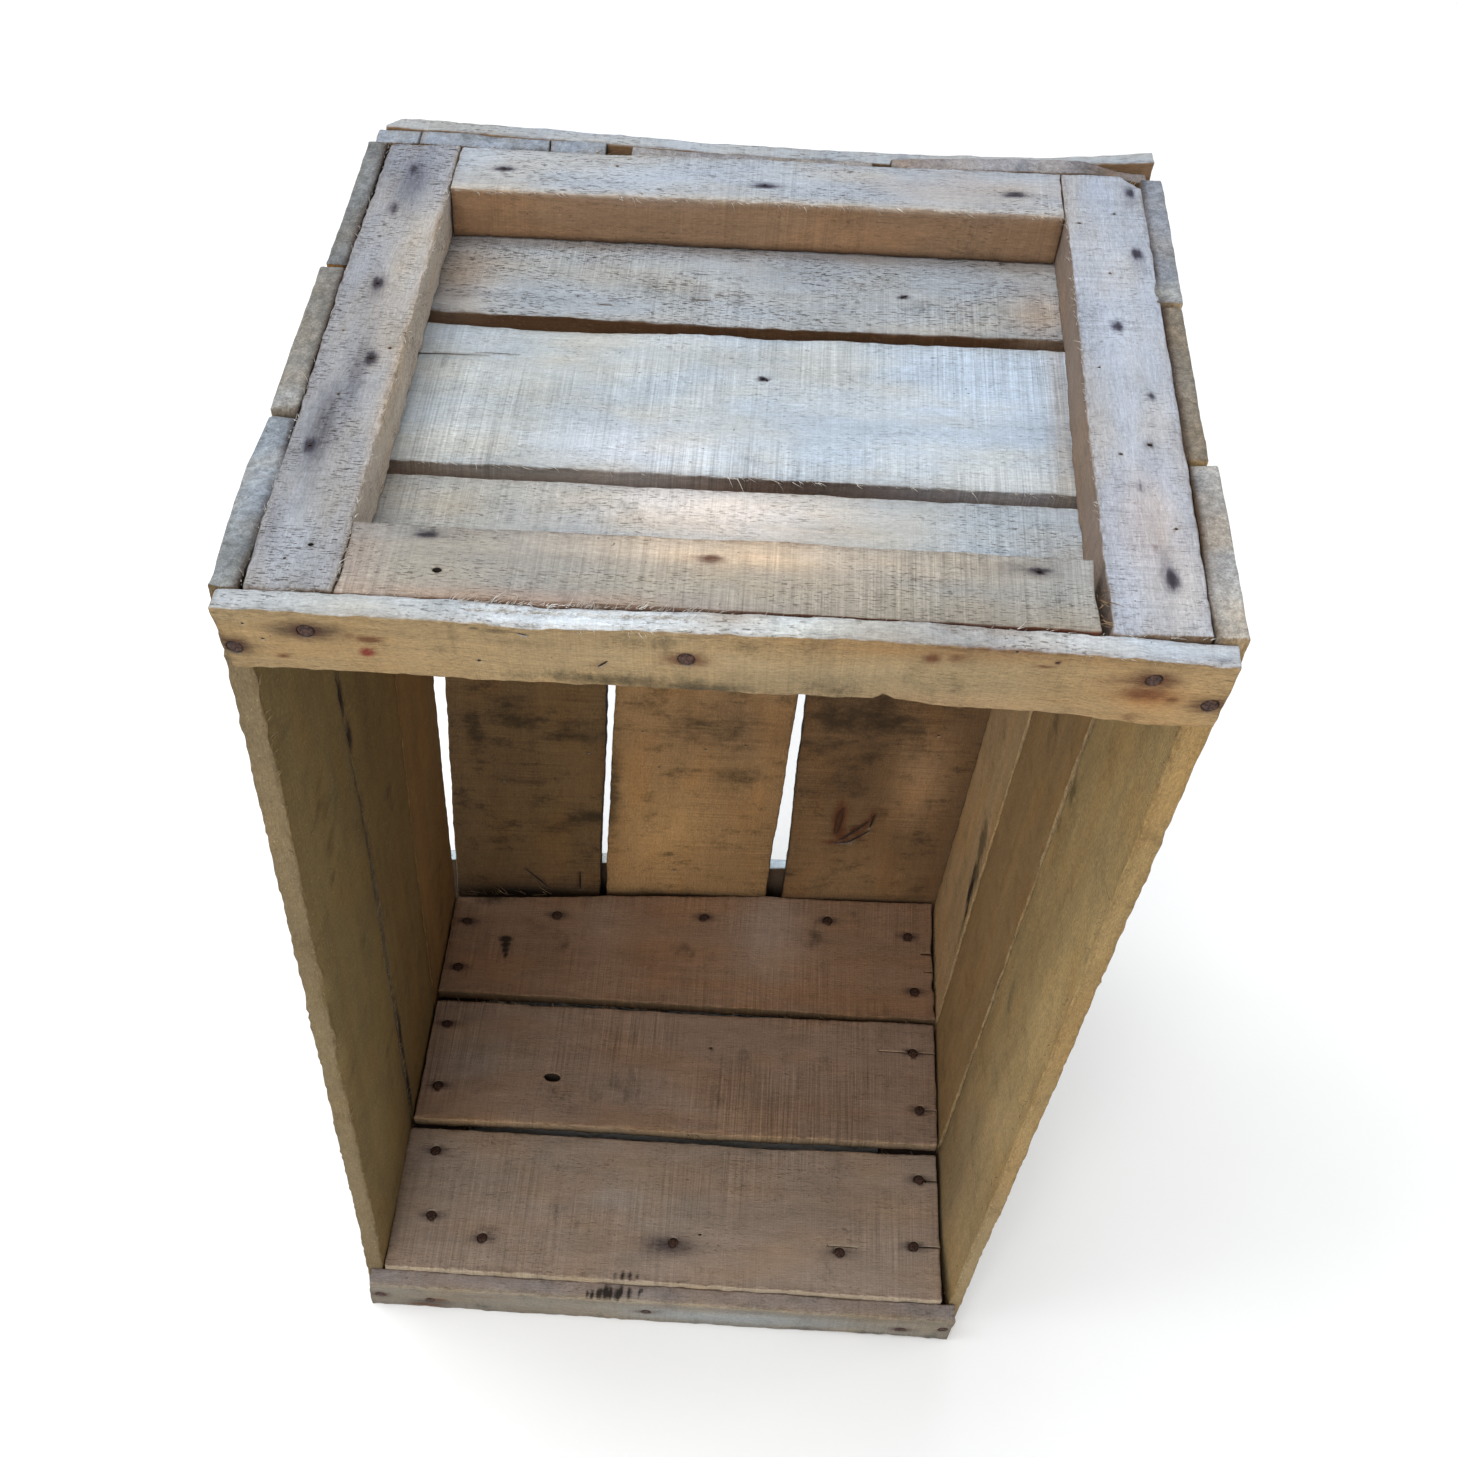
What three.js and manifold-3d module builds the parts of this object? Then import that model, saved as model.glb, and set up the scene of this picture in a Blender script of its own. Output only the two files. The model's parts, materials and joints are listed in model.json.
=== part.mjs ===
// A nailed wooden apple crate, standing on one of its ends with the mouth towards -Y.
// Millimetres, +Z up along the crate's length, +X to the right of someone facing the mouth.
// The origin is under the middle of the crate, on the surface that it stands on.
import * as THREE from 'three';
import { mergeVertices } from 'three/addons/utils/BufferGeometryUtils.js';
import Module from 'manifold-3d';

const wasm = await Module();
wasm.setup();

// Overall size
const WIDTH = 340; // over the ends of the mouth rails and the bottom rails
const INNER_WIDTH = 326; // between the side slats
const LENGTH = 595; // end to end
const LEAN_DEG = 3; // the old nailed frame has racked sideways by this much

// Thicknesses
const RAIL_THICK = 10; // mouth rails
const SIDE_THICK = { // side slats, which stand a little proud of the rails' ends
  left: { front: 10, middle: 11, rear: 8.7 },
  right: { front: 11, middle: 8.2, rear: 9.6 },
};
const BATTEN_THICK = 24; // the square frame outside each end
const END_SLAT_THICK = 9; // the slats inside each end
const BOTTOM_THICK = 11; // the wide boards of the crate's bottom
const SKID_THICK = 8.5; // the rails nailed across the bottom

// Fits and edges
const GAP = 0.3; // between pieces that lie against each other
const WORN_EDGE = 0.8; // chamfer along each board's worn long edges

// Depth, measured from the front face of the mouth rails
const END_FRONT = RAIL_THICK + GAP;
const END_DEPTH = 271.7; // of each end, front to back
const END_BACK = END_FRONT + END_DEPTH;
const BOTTOM_FRONT = END_BACK + GAP;
const BOTTOM_BACK = BOTTOM_FRONT + BOTTOM_THICK;
const SKID_FRONT = BOTTOM_BACK + GAP;
const DEPTH = SKID_FRONT + SKID_THICK;

// Nails
const NAIL = { shank: 1.1, length: 29, head: 2.6, headThick: 1.1, proud: 0.4, point: 4 };
const NAIL_SEGMENTS = 10;

// Colours of the weathered wood and the rusty nails
const COLOURS = {
  batten: 0xb9b0a6,
  endSlat: 0xb3a598,
  sideSlat: 0x96866a,
  bottomBoard: 0x8a7250,
  skid: 0xb4ac9f,
  mouthRail: 0xb89a70,
  nail: 0x4a3126,
};

const crate = new THREE.Group();
const half = WIDTH / 2;
const innerHalf = INNER_WIDTH / 2;
const endHalf = innerHalf - GAP;
const lean = Math.tan(THREE.MathUtils.degToRad(LEAN_DEG));
const leanMatrix = new THREE.Matrix4().set(1, 0, lean, 0, 0, 1, 0, 0, 0, 0, 1, 0, 0, 0, 0, 1);

// Turns a section drawn across the grain, extruded along its own Z, to the grain direction.
const GRAIN = {
  x: new THREE.Matrix4().makeBasis(
    new THREE.Vector3(0, 1, 0), new THREE.Vector3(0, 0, 1), new THREE.Vector3(1, 0, 0)),
  y: new THREE.Matrix4().makeBasis(
    new THREE.Vector3(0, 0, 1), new THREE.Vector3(1, 0, 0), new THREE.Vector3(0, 1, 0)),
  z: new THREE.Matrix4(),
};

function toSolid(geometry) {
  const bare = geometry.clone();
  bare.deleteAttribute('normal');
  bare.deleteAttribute('uv');
  const merged = mergeVertices(bare, 1e-4);
  const mesh = new wasm.Mesh({
    numProp: 3,
    vertProperties: new Float32Array(merged.attributes.position.array),
    triVerts: new Uint32Array(merged.index.array),
  });
  mesh.merge();
  return new wasm.Manifold(mesh);
}

function toGeometry(solid) {
  const mesh = solid.getMesh();
  const geometry = new THREE.BufferGeometry();
  geometry.setAttribute('position', new THREE.BufferAttribute(mesh.vertProperties, 3));
  geometry.setIndex(new THREE.BufferAttribute(mesh.triVerts, 1));
  geometry.computeVertexNormals();
  return geometry;
}

function woodMaterial(colour) {
  return new THREE.MeshStandardMaterial({ color: colour, roughness: 0.9, metalness: 0 });
}

// A sawn board: a rectangle across the grain with worn long edges, cut square at both ends.
function boardGeometry(x, y, z, grain) {
  const across = { x: [y, z, x], y: [z, x, y], z: [x, y, z] }[grain];
  const [[u0, u1], [v0, v1], [w0, w1]] = across;
  const c = WORN_EDGE;
  const section = new THREE.Shape([
    new THREE.Vector2(u0 + c, v0), new THREE.Vector2(u1 - c, v0),
    new THREE.Vector2(u1, v0 + c), new THREE.Vector2(u1, v1 - c),
    new THREE.Vector2(u1 - c, v1), new THREE.Vector2(u0 + c, v1),
    new THREE.Vector2(u0, v1 - c), new THREE.Vector2(u0, v0 + c),
  ]);
  const geometry = new THREE.ExtrudeGeometry(section, { depth: w1 - w0, bevelEnabled: false });
  geometry.translate(0, 0, w0);
  geometry.applyMatrix4(GRAIN[grain]);
  return geometry;
}

// A round nail along Y, its board's face at y = 0 and its point towards -Y. With room
// above zero it is instead the hole that the nail sits in, that much larger all round.
function nailGeometry(room) {
  const { shank, length, head, headThick, proud, point } = NAIL;
  const top = room > 0 ? proud + 3 : proud;
  const crown = room > 0 ? 0 : 0.3;
  const under = proud - headThick - room;
  const profile = [
    new THREE.Vector2(0, -length - room),
    new THREE.Vector2(shank + room, -length + point),
    new THREE.Vector2(shank + room, under),
    new THREE.Vector2(head + room, under),
    new THREE.Vector2(head + room, top - crown),
    new THREE.Vector2(0, top),
  ];
  return new THREE.LatheGeometry(profile, NAIL_SEGMENTS);
}

// Where the nails are: name, the point on the board's face, and the way the head faces.
function mouthNail(name, x, z) {
  return { name, at: [x, 0, z], turn: Math.PI };
}

function floorNail(name, x, y) {
  return { name, at: [x, y, BATTEN_THICK + GAP + END_SLAT_THICK], turn: Math.PI / 2 };
}

const NAILS = [
  mouthNail('nail_rail_upper_1', -164.5, 576),
  mouthNail('nail_rail_upper_2', -139, 586),
  mouthNail('nail_rail_upper_3', -11, 582),
  mouthNail('nail_rail_upper_4', 144, 584),
  mouthNail('nail_rail_upper_5', 165.5, 573),
  mouthNail('nail_rail_lower_1', -164, 15),
  mouthNail('nail_rail_lower_2', -135, 11),
  mouthNail('nail_rail_lower_3', -8, 14),
  mouthNail('nail_rail_lower_4', 141, 12),
  mouthNail('nail_rail_lower_5', 165, 16),
  floorNail('nail_end_rear_left_1', -151.5, 251),
  floorNail('nail_end_rear_left_2', -152, 215),
  floorNail('nail_end_rear_edge_1', -92, 260),
  floorNail('nail_end_rear_edge_2', 7, 265),
  floorNail('nail_end_rear_edge_3', 90, 268),
  floorNail('nail_end_rear_right_1', 144, 259),
  floorNail('nail_end_rear_right_2', 148, 216.5),
  floorNail('nail_end_middle_left_1', -152, 172),
  floorNail('nail_end_middle_left_2', -150.5, 128),
  floorNail('nail_end_middle_right_1', 146.5, 171),
  floorNail('nail_end_middle_right_2', 150.5, 131),
  floorNail('nail_end_front_left_1', -144.5, 84),
  floorNail('nail_end_front_left_2', -140, 42.5),
  floorNail('nail_end_front_edge_1', -108, 30.5),
  floorNail('nail_end_front_edge_2', 4.5, 35),
  floorNail('nail_end_front_edge_3', 102.5, 35.5),
  floorNail('nail_end_front_right_1', 149.5, 84.5),
  floorNail('nail_end_front_right_2', 146, 42),
];

function placeNail(geometry, nail) {
  const [x, y, z] = nail.at;
  geometry.rotateX(nail.turn);
  geometry.translate(x + lean * z, y, z);
  return geometry;
}

const nailHoles = NAILS.map((nail) => ({
  box: new THREE.Box3(),
  solid: toSolid(placeNail(nailGeometry(GAP), nail)),
  geometry: placeNail(nailGeometry(GAP), nail),
}));
for (const hole of nailHoles) {
  hole.geometry.computeBoundingBox();
  hole.box.copy(hole.geometry.boundingBox);
}

// Adds one board, leaned with the frame and drilled by the nails that pass through it.
function addBoard(name, colour, x, y, z, grain) {
  const geometry = boardGeometry(x, y, z, grain);
  geometry.applyMatrix4(leanMatrix);
  geometry.computeBoundingBox();
  let solid = toSolid(geometry);
  for (const hole of nailHoles) {
    if (hole.box.intersectsBox(geometry.boundingBox)) {
      solid = solid.subtract(hole.solid);
    }
  }
  const mesh = new THREE.Mesh(toGeometry(solid), woodMaterial(colour));
  mesh.name = name;
  crate.add(mesh);
}

// One end: a square frame of battens outside and three slats inside it.
// z is the frame's span, and slatZ the slats'.
function addEnd(end, z, slatZ, slatRows) {
  const left = [-endHalf, -131];
  const right = [128.5, endHalf];
  const between = [left[1] + GAP, right[0] - GAP];
  const sides = [END_FRONT, END_BACK];
  addBoard(`${end}_batten_left`, COLOURS.batten, left, sides, z, 'y');
  addBoard(`${end}_batten_right`, COLOURS.batten, right, sides, z, 'y');
  addBoard(`${end}_batten_rear`, COLOURS.batten, between, [END_BACK - 32.5, END_BACK], z, 'x');
  const shortOf = [between[0], right[0] - 2.5];
  addBoard(`${end}_batten_front`, COLOURS.batten, shortOf, [END_FRONT, END_FRONT + 34.5], z, 'x');
  for (const [place, y] of Object.entries(slatRows)) {
    addBoard(`${end}_slat_${place}`, COLOURS.endSlat, [-endHalf, endHalf], y, slatZ, 'x');
  }
}

function addEnds() {
  const inner = BATTEN_THICK + GAP;
  const slatTop = inner + END_SLAT_THICK;
  addEnd('lower_end', [0, BATTEN_THICK], [inner, slatTop], {
    front: [END_FRONT, 97.6],
    middle: [106.3, 190.3],
    rear: [195.8, END_BACK],
  });
  addEnd('upper_end', [LENGTH - BATTEN_THICK, LENGTH], [LENGTH - slatTop, LENGTH - inner], {
    front: [END_FRONT, 96],
    middle: [102.5, 189],
    rear: [196.5, END_BACK],
  });
}

// Three slats run the whole length of each side, nailed to the battens' outer edges.
function addSides() {
  const rows = {
    left: { front: [END_FRONT, 99.5], middle: [102.5, 190.5], rear: [193, END_BACK] },
    right: { front: [END_FRONT, 96.5], middle: [99, 189.5], rear: [192, END_BACK - 2] },
  };
  for (const [side, slats] of Object.entries(rows)) {
    for (const [place, y] of Object.entries(slats)) {
      const outer = innerHalf + SIDE_THICK[side][place];
      const x = side === 'left' ? [-outer, -innerHalf] : [innerHalf, outer];
      addBoard(`side_slat_${side}_${place}`, COLOURS.sideSlat, x, y, [0, LENGTH], 'z');
    }
  }
}

// The crate's bottom, upright at the back here: three boards with air gaps between them.
function addBottom() {
  const boards = { left: [-162, -66.5], middle: [-60.5, 48], right: [55, 167] };
  for (const [place, x] of Object.entries(boards)) {
    const name = `bottom_board_${place}`;
    addBoard(name, COLOURS.bottomBoard, x, [BOTTOM_FRONT, BOTTOM_BACK], [0, LENGTH], 'z');
  }
}

// A rail across the bottom at each end, and a rail across the mouth at each end.
function addRails() {
  const full = [-half, half];
  const skidY = [SKID_FRONT, DEPTH];
  const railY = [0, RAIL_THICK];
  addBoard('skid_lower', COLOURS.skid, full, skidY, [0, 50], 'x');
  addBoard('skid_upper', COLOURS.skid, full, skidY, [LENGTH - 50, LENGTH], 'x');
  addBoard('mouth_rail_lower', COLOURS.mouthRail, full, railY, [0, 28.5], 'x');
  addBoard('mouth_rail_upper', COLOURS.mouthRail, full, railY, [LENGTH - 31, LENGTH], 'x');
}

function addNails() {
  for (const nail of NAILS) {
    const material = new THREE.MeshStandardMaterial({
      color: COLOURS.nail, roughness: 0.8, metalness: 0.6,
    });
    const mesh = new THREE.Mesh(placeNail(nailGeometry(0), nail), material);
    mesh.name = nail.name;
    crate.add(mesh);
  }
}

addEnds();
addSides();
addBottom();
addRails();
addNails();

// The origin goes under the middle of the box round the whole crate.
crate.position.set(-lean * LENGTH / 2, -(DEPTH - NAIL.proud) / 2, 0);

export default crate;
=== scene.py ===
"""A weathered, nailed wooden apple crate that stands on one end, mouth towards -Y."""
import json
import math

import bpy
import numpy as np
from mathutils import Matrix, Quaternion, Vector
from mathutils.kdtree import KDTree


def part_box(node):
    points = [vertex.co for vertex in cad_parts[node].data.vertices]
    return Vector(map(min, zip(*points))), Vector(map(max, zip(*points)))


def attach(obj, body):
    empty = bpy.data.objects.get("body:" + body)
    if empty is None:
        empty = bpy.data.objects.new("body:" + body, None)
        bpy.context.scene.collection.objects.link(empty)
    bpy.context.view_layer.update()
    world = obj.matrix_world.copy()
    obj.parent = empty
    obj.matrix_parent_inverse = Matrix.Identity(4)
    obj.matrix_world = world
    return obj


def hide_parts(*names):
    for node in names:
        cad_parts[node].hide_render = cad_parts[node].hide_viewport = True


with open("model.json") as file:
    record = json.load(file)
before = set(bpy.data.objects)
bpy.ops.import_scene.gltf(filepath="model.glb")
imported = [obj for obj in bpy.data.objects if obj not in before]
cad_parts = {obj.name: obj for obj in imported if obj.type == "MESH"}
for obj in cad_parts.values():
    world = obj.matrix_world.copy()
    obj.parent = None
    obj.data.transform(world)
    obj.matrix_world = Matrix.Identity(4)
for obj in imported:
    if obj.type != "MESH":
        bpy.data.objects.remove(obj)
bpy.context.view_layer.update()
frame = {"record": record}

MM = 0.001
LEAN = math.tan(math.radians(3))  # the frame's sideways lean, as in the CAD

# ---------------------------------------------------------------- frame and small helpers


def upright_box(node):
    """A board's box in millimetres with the lean taken out: lowest and highest corner."""
    lo, hi = (np.array(corner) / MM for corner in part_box(node))
    lo[0] -= LEAN * lo[2]
    hi[0] -= LEAN * hi[2]
    return lo, hi


RAIL_LO, RAIL_HI = upright_box("mouth_rail_lower")
ORIGIN = np.array([(RAIL_LO[0] + RAIL_HI[0]) / 2, RAIL_LO[1], 0.0])
NODE_SLOTS = {row["node"]: row["material_slot"] for row in frame["record"]["subparts"]}


def crate_box(node):
    """A board's box in crate millimetres: x from the middle, y from the mouth, z up."""
    lo, hi = upright_box(node)
    return lo - ORIGIN, hi - ORIGIN


def to_row(points):
    """Crate millimetres to metres in the row frame."""
    out = np.array(points, dtype=float)
    # The lower end is out of square behind: it runs deeper to the right.
    reach = smooth(np.clip((out[:, 1] - 268) / 15, 0, 1)) * smooth(np.clip(1 - out[:, 2] / 260, 0, 1))
    out[:, 1] += reach * np.interp(out[:, 0], (-165, -62, 165), (-5.0, 0.0, 6.5))
    out += ORIGIN
    out[:, 0] += LEAN * out[:, 2]
    return out * MM


def from_row(points):
    """Metres in the row frame to crate millimetres."""
    out = np.array(points, dtype=float) / MM
    out[:, 0] -= LEAN * out[:, 2]
    return out - ORIGIN


def linear(srgb):
    """An sRGB colour, 0 to 255, as linear values."""
    c = np.array(srgb, dtype=float) / 255
    return np.where(c <= 0.04045, c / 12.92, ((c + 0.055) / 1.055) ** 2.4)


def rgba(srgb):
    return (*linear(srgb), 1.0)


def name_seed(name):
    return sum(ord(c) * (i + 3) for i, c in enumerate(name)) % 9973


def smooth(f):
    return f * f * (3 - 2 * f)


def noise1(x, seed):
    """Smooth noise from -1 to 1, about one swing per unit."""
    table = np.random.default_rng(seed).uniform(-1, 1, 512)
    i = np.floor(x).astype(int)
    f = smooth(x - i)
    return table[i % 512] * (1 - f) + table[(i + 1) % 512] * f


def noise2(x, y, seed):
    """Smooth noise over a surface, from -1 to 1."""
    table = np.random.default_rng(seed).uniform(-1, 1, (128, 128))
    i, j = np.floor(x).astype(int), np.floor(y).astype(int)
    f, g = smooth(x - i), smooth(y - j)
    a = table[i % 128, j % 128] * (1 - f) + table[(i + 1) % 128, j % 128] * f
    b = table[i % 128, (j + 1) % 128] * (1 - f) + table[(i + 1) % 128, (j + 1) % 128] * f
    return a * (1 - g) + b * g


def new_mesh(name, points, polygons, material):
    """A closed mesh object from points in metres and lists of vertex numbers."""
    mesh = bpy.data.meshes.new(name)
    mesh.from_pydata([tuple(p) for p in points], [], [tuple(f) for f in polygons])
    mesh.validate()
    mesh.materials.append(material)
    piece = bpy.data.objects.new(name, mesh)
    bpy.context.scene.collection.objects.link(piece)
    mesh.shade_smooth()
    return piece


def hand_over(piece, slot, *replaced):
    """Hides the CAD parts that the piece replaces and lets the piece move with the crate."""
    if replaced:
        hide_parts(*replaced)
    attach(piece, "root")


# ---------------------------------------------------------------- materials


class Shader:
    """Short way to write a node tree."""

    def __init__(self, name):
        self.material = bpy.data.materials.new(name)
        self.material.use_nodes = True
        self.tree = self.material.node_tree
        self.tree.nodes.clear()

    def put(self, socket, value):
        if isinstance(value, bpy.types.NodeSocket):
            self.tree.links.new(value, socket)
        else:
            socket.default_value = value

    def node(self, kind, inputs=None, out=0, **settings):
        made = self.tree.nodes.new(kind)
        for key, value in settings.items():
            setattr(made, key, value)
        for key, value in (inputs or {}).items():
            self.put(made.inputs[key], value)
        return made.outputs[out] if made.outputs else None

    def attribute(self, name, out="Fac"):
        return self.node("ShaderNodeAttribute", out=out, attribute_name=name)

    def math(self, operation, a, b=0.0, clamp=False):
        return self.node("ShaderNodeMath", {0: a, 1: b}, operation=operation, use_clamp=clamp)

    def times(self, *values):
        out = values[0]
        for value in values[1:]:
            out = self.math("MULTIPLY", out, value)
        return out

    def plus(self, *values):
        out = values[0]
        for value in values[1:]:
            out = self.math("ADD", out, value)
        return out

    def stretch(self, vector, scale, shift=(0, 0, 0), turn=0.0):
        moved = {"Vector": vector, "Scale": scale, "Location": shift, "Rotation": (0, 0, turn)}
        return self.node("ShaderNodeMapping", moved)

    def noise(self, vector, scale=1.0, detail=3.0, rough=0.5, distort=0.0):
        inputs = {"Vector": vector, "Scale": scale, "Detail": detail,
                  "Roughness": rough, "Distortion": distort}
        return self.node("ShaderNodeTexNoise", inputs)

    def ramp(self, value, low, high, to_low=0.0, to_high=1.0):
        """Smooth step of value from low..high to to_low..to_high."""
        inputs = {"Value": value, 1: low, 2: high, 3: to_low, 4: to_high}
        return self.node("ShaderNodeMapRange", inputs, interpolation_type="SMOOTHSTEP")

    def mix(self, factor, a, b, blend="MIX"):
        made = self.tree.nodes.new("ShaderNodeMix")
        made.data_type, made.blend_type = "RGBA", blend
        for socket, value in ((0, factor), (6, a), (7, b)):
            self.put(made.inputs[socket], value)
        return made.outputs[2]

    def tint(self, factor, colour, srgb):
        """Multiplies the colour by another where the factor is high."""
        return self.mix(factor, colour, rgba(srgb), "MULTIPLY")

    def finish(self, colour, roughness, bump_height, bump_mm, specular=0.25, metallic=0.0):
        bump = self.node("ShaderNodeBump",
                         {"Height": bump_height, "Distance": bump_mm * MM, "Strength": 1.0})
        surface = {"Base Color": colour, "Roughness": roughness, "Normal": bump,
                   "Specular IOR Level": specular, "Metallic": metallic}
        shader = self.node("ShaderNodeBsdfPrincipled", surface)
        self.node("ShaderNodeOutputMaterial", {"Surface": shader})
        return self.material


def wood_material(name, saw, blotch, ring, slant=0.04, crosswise=False, mottle=0.72, fuzz=0.0, felted=0.07):
    """Sawn, weathered wood. The mesh gives grain millimetres, face colour and stains, and with them some
    painted light and shade.
    """
    s = Shader(name)
    grain = s.attribute("grain", "Vector")
    silver = s.attribute("silver")
    end = s.attribute("end_grain")
    edge = s.attribute("edge")
    flecks = s.attribute("flecked")
    saw = s.times(s.attribute("sawn"), saw)

    def along(scale_s, scale_u, shift=(0, 0, 0), turn=0.0, **settings):
        return s.noise(s.stretch(grain, (scale_s, scale_u, scale_u), shift, turn), **settings)

    patches = along(0.012, 0.03, detail=4, rough=0.6)
    tint = along(0.016, 0.04, (7, 3, 1), detail=3)
    fibre = along(0.07, 1.0, detail=5, rough=0.68)
    fine = along(0.22, 3.0, (3, 1, 6), detail=3, rough=0.6)
    felt = along(0.55, 1.3, (6, 8, 2), detail=4, rough=0.72)
    figure = along(0.0045, 0.12, (8, 2, 2), detail=2, distort=0.5)
    sawn = along(1.5, 0.014, (0, 0, 0), slant, detail=4, rough=0.65)
    ripple = along(0.42, 0.012, (4, 4, 4), slant * 0.6, detail=5, rough=0.7)
    saw_zone = s.ramp(along(0.012, 0.02, (3, 9, 4), detail=3), 0.36, 0.62, 0.15)
    dash = (2.0, 0.27) if crosswise else (0.27, 2.0)
    fleck = s.noise(s.stretch(grain, (dash[0], dash[1], 1.0), (5, 0, 2)), detail=3, rough=0.6)
    fleck = s.plus(fleck, s.times(flecks, 0.045))
    fleck_zone = s.ramp(along(0.03, 0.07, (1, 5, 9), detail=3), 0.36, 0.62, 0.1)
    coarse = along(0.20, 0.9, (9, 9, 1), detail=4, rough=0.7)
    pits = along(0.5, 0.5, (4, 2, 8), detail=2)

    # Broad tone, growth bands, fibres, saw marks, and the mottling of the end grain.
    tone = s.plus(s.ramp(patches, 0.3, 0.7, 0.91, 1.08), s.ramp(figure, 0.3, 0.7, -ring, ring))
    tone = s.times(tone, s.ramp(fibre, 0.25, 0.75, 0.89, 1.10), s.ramp(fine, 0.25, 0.75, 0.92, 1.07))
    matted = s.ramp(felt, 0.3, 0.7, 1 - felted, 1 + felted)
    tone = s.times(tone, matted, s.ramp(coarse, 0.3, 0.7, 0.95, 1.05))
    lines = s.plus(s.times(s.math("SUBTRACT", sawn, 0.5), 1.1), s.math("SUBTRACT", ripple, 0.5))
    face_only = s.math("SUBTRACT", 1.0, end, clamp=True)
    tone = s.times(tone, s.plus(1.0, s.times(lines, saw_zone, face_only, saw)))
    spots = s.ramp(along(0.5, 0.30, (2, 2, 2), detail=5, rough=0.7), 0.36, 0.64, mottle, 1.14)
    tone = s.times(tone, s.node("ShaderNodeMapRange", {0: end, 3: 1.0, 4: spots}))
    colour = s.mix(1.0, s.attribute("face_colour", "Color"), tone, "MULTIPLY")
    warm = s.mix(1.0, colour, (1.05, 0.985, 0.90, 1), "MULTIPLY")
    colour = s.mix(s.ramp(tint, 0.45, 0.68), colour, warm)
    cool = s.mix(1.0, colour, (0.96, 0.99, 1.04, 1), "MULTIPLY")
    colour = s.mix(s.times(s.ramp(tint, 0.52, 0.36), silver), colour, cool)

    # Torn dashes left by the saw, light fibres, and pits.
    torn = s.times(s.ramp(fleck, 0.61, 0.67), fleck_zone, flecks, face_only)
    colour = s.tint(torn, colour, (134, 116, 102))
    stray = s.times(s.ramp(fleck, 0.71, 0.75), 0.5, flecks)
    colour = s.tint(stray, colour, (118, 100, 86))
    lint = s.times(s.ramp(along(0.55, 1.8, (11, 4, 7), detail=3), 0.64, 0.72), fuzz)
    colour = s.mix(lint, colour, rgba((206, 188, 150)))
    colour = s.mix(s.times(s.ramp(pits, 0.735, 0.76), 0.6), colour, rgba((62, 50, 42)))

    # Stains: mould, the blue-black marks of iron, rust, and dirt in gaps, holes and edges, mixed with
    # painted shade deep in gaps and holes.
    ragged = along(0.22, 0.75, (2, 7, 5), detail=5, rough=0.68)
    shred = s.math("SUBTRACT", ragged, 0.5)
    blot = along(0.070, 0.040, (5, 5, 2), detail=7, rough=0.7)
    specks = s.math("SUBTRACT", along(0.9, 0.45, (1, 1, 7), detail=4, rough=0.7), 0.5)
    mould = s.plus(s.attribute("mould"), s.times(s.math("SUBTRACT", blot, 0.5), 2.3), s.times(specks, 0.5))
    mould = s.ramp(mould, 0.1, 0.95)
    scattered = s.times(s.ramp(s.plus(blot, s.times(specks, 0.25)), 0.50, 0.72), blotch)
    mould = s.math("MAXIMUM", mould, scattered)
    colour = s.tint(s.times(mould, 0.9), colour, (134, 139, 140))
    iron = s.attribute("iron")
    halo = s.ramp(s.plus(iron, s.times(shred, s.math("SQRT", iron), 0.7)), 0.03, 0.8)
    colour = s.tint(halo, colour, (112, 108, 124))
    core = s.ramp(s.plus(iron, s.times(shred, 0.5)), 0.5, 1.0)
    colour = s.mix(s.times(core, 0.75), colour, rgba((42, 36, 40)))
    rust = s.attribute("rust")
    rusty = s.ramp(s.plus(rust, s.times(shred, s.math("SQRT", rust), 0.8)), 0.06, 0.85)
    colour = s.mix(s.times(rusty, 0.85), colour, rgba((86, 46, 24)))
    bleached = s.ramp(s.times(shred, 0.9), 0.3, 0.9)
    colour = s.mix(bleached, colour, rgba((226, 228, 228)))
    grime = s.times(edge, s.ramp(ragged, 0.38, 0.62, 0.1, 1.0))
    colour = s.tint(s.times(grime, 0.6), colour, (158, 138, 120))
    # Near black where there is dirt and where shade is painted into gaps and holes.
    dirt_and_shade = s.attribute("dirt_and_shade")
    broken = s.plus(s.times(shred, 0.8), s.times(lines, 0.5))
    caked_and_shaded = s.ramp(s.plus(dirt_and_shade, s.times(broken, s.math("SQRT", dirt_and_shade))), 0.12, 0.75)
    clean = s.math("SUBTRACT", 0.93, s.times(rust, 0.9), clamp=True)
    colour = s.mix(s.times(caked_and_shaded, clean), colour, rgba((28, 21, 17)))

    height = s.plus(s.times(fibre, 0.35), s.times(fine, 0.15), s.times(sawn, saw, 0.4), s.times(felt, 0.3))
    height = s.plus(height, s.times(torn, -0.6), s.times(coarse, end, 0.9), s.times(lint, 0.5))
    roughness = s.ramp(fibre, 0.2, 0.8, 0.78, 0.95)
    return s.finish(colour, roughness, height, 0.75)


def nail_material():
    """Old wire nail: brown rust with darker scale and a few rubbed spots."""
    s = Shader("rusty_nail")
    where = s.node("ShaderNodeTexCoord", out="Object")
    scale = s.noise(where, scale=900, detail=4, rough=0.6)
    large = s.noise(where, scale=180, detail=2)
    colour = s.mix(s.ramp(scale, 0.35, 0.65), rgba((30, 20, 16)), rgba((80, 49, 36)))
    colour = s.mix(s.ramp(large, 0.45, 0.7), colour, rgba((46, 33, 28)))
    metal = s.ramp(scale, 0.6, 0.75, 0.0, 0.35)
    rough = s.ramp(scale, 0.3, 0.7, 0.9, 0.62)
    return s.finish(colour, rough, scale, 0.25, specular=0.4, metallic=metal)


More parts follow.
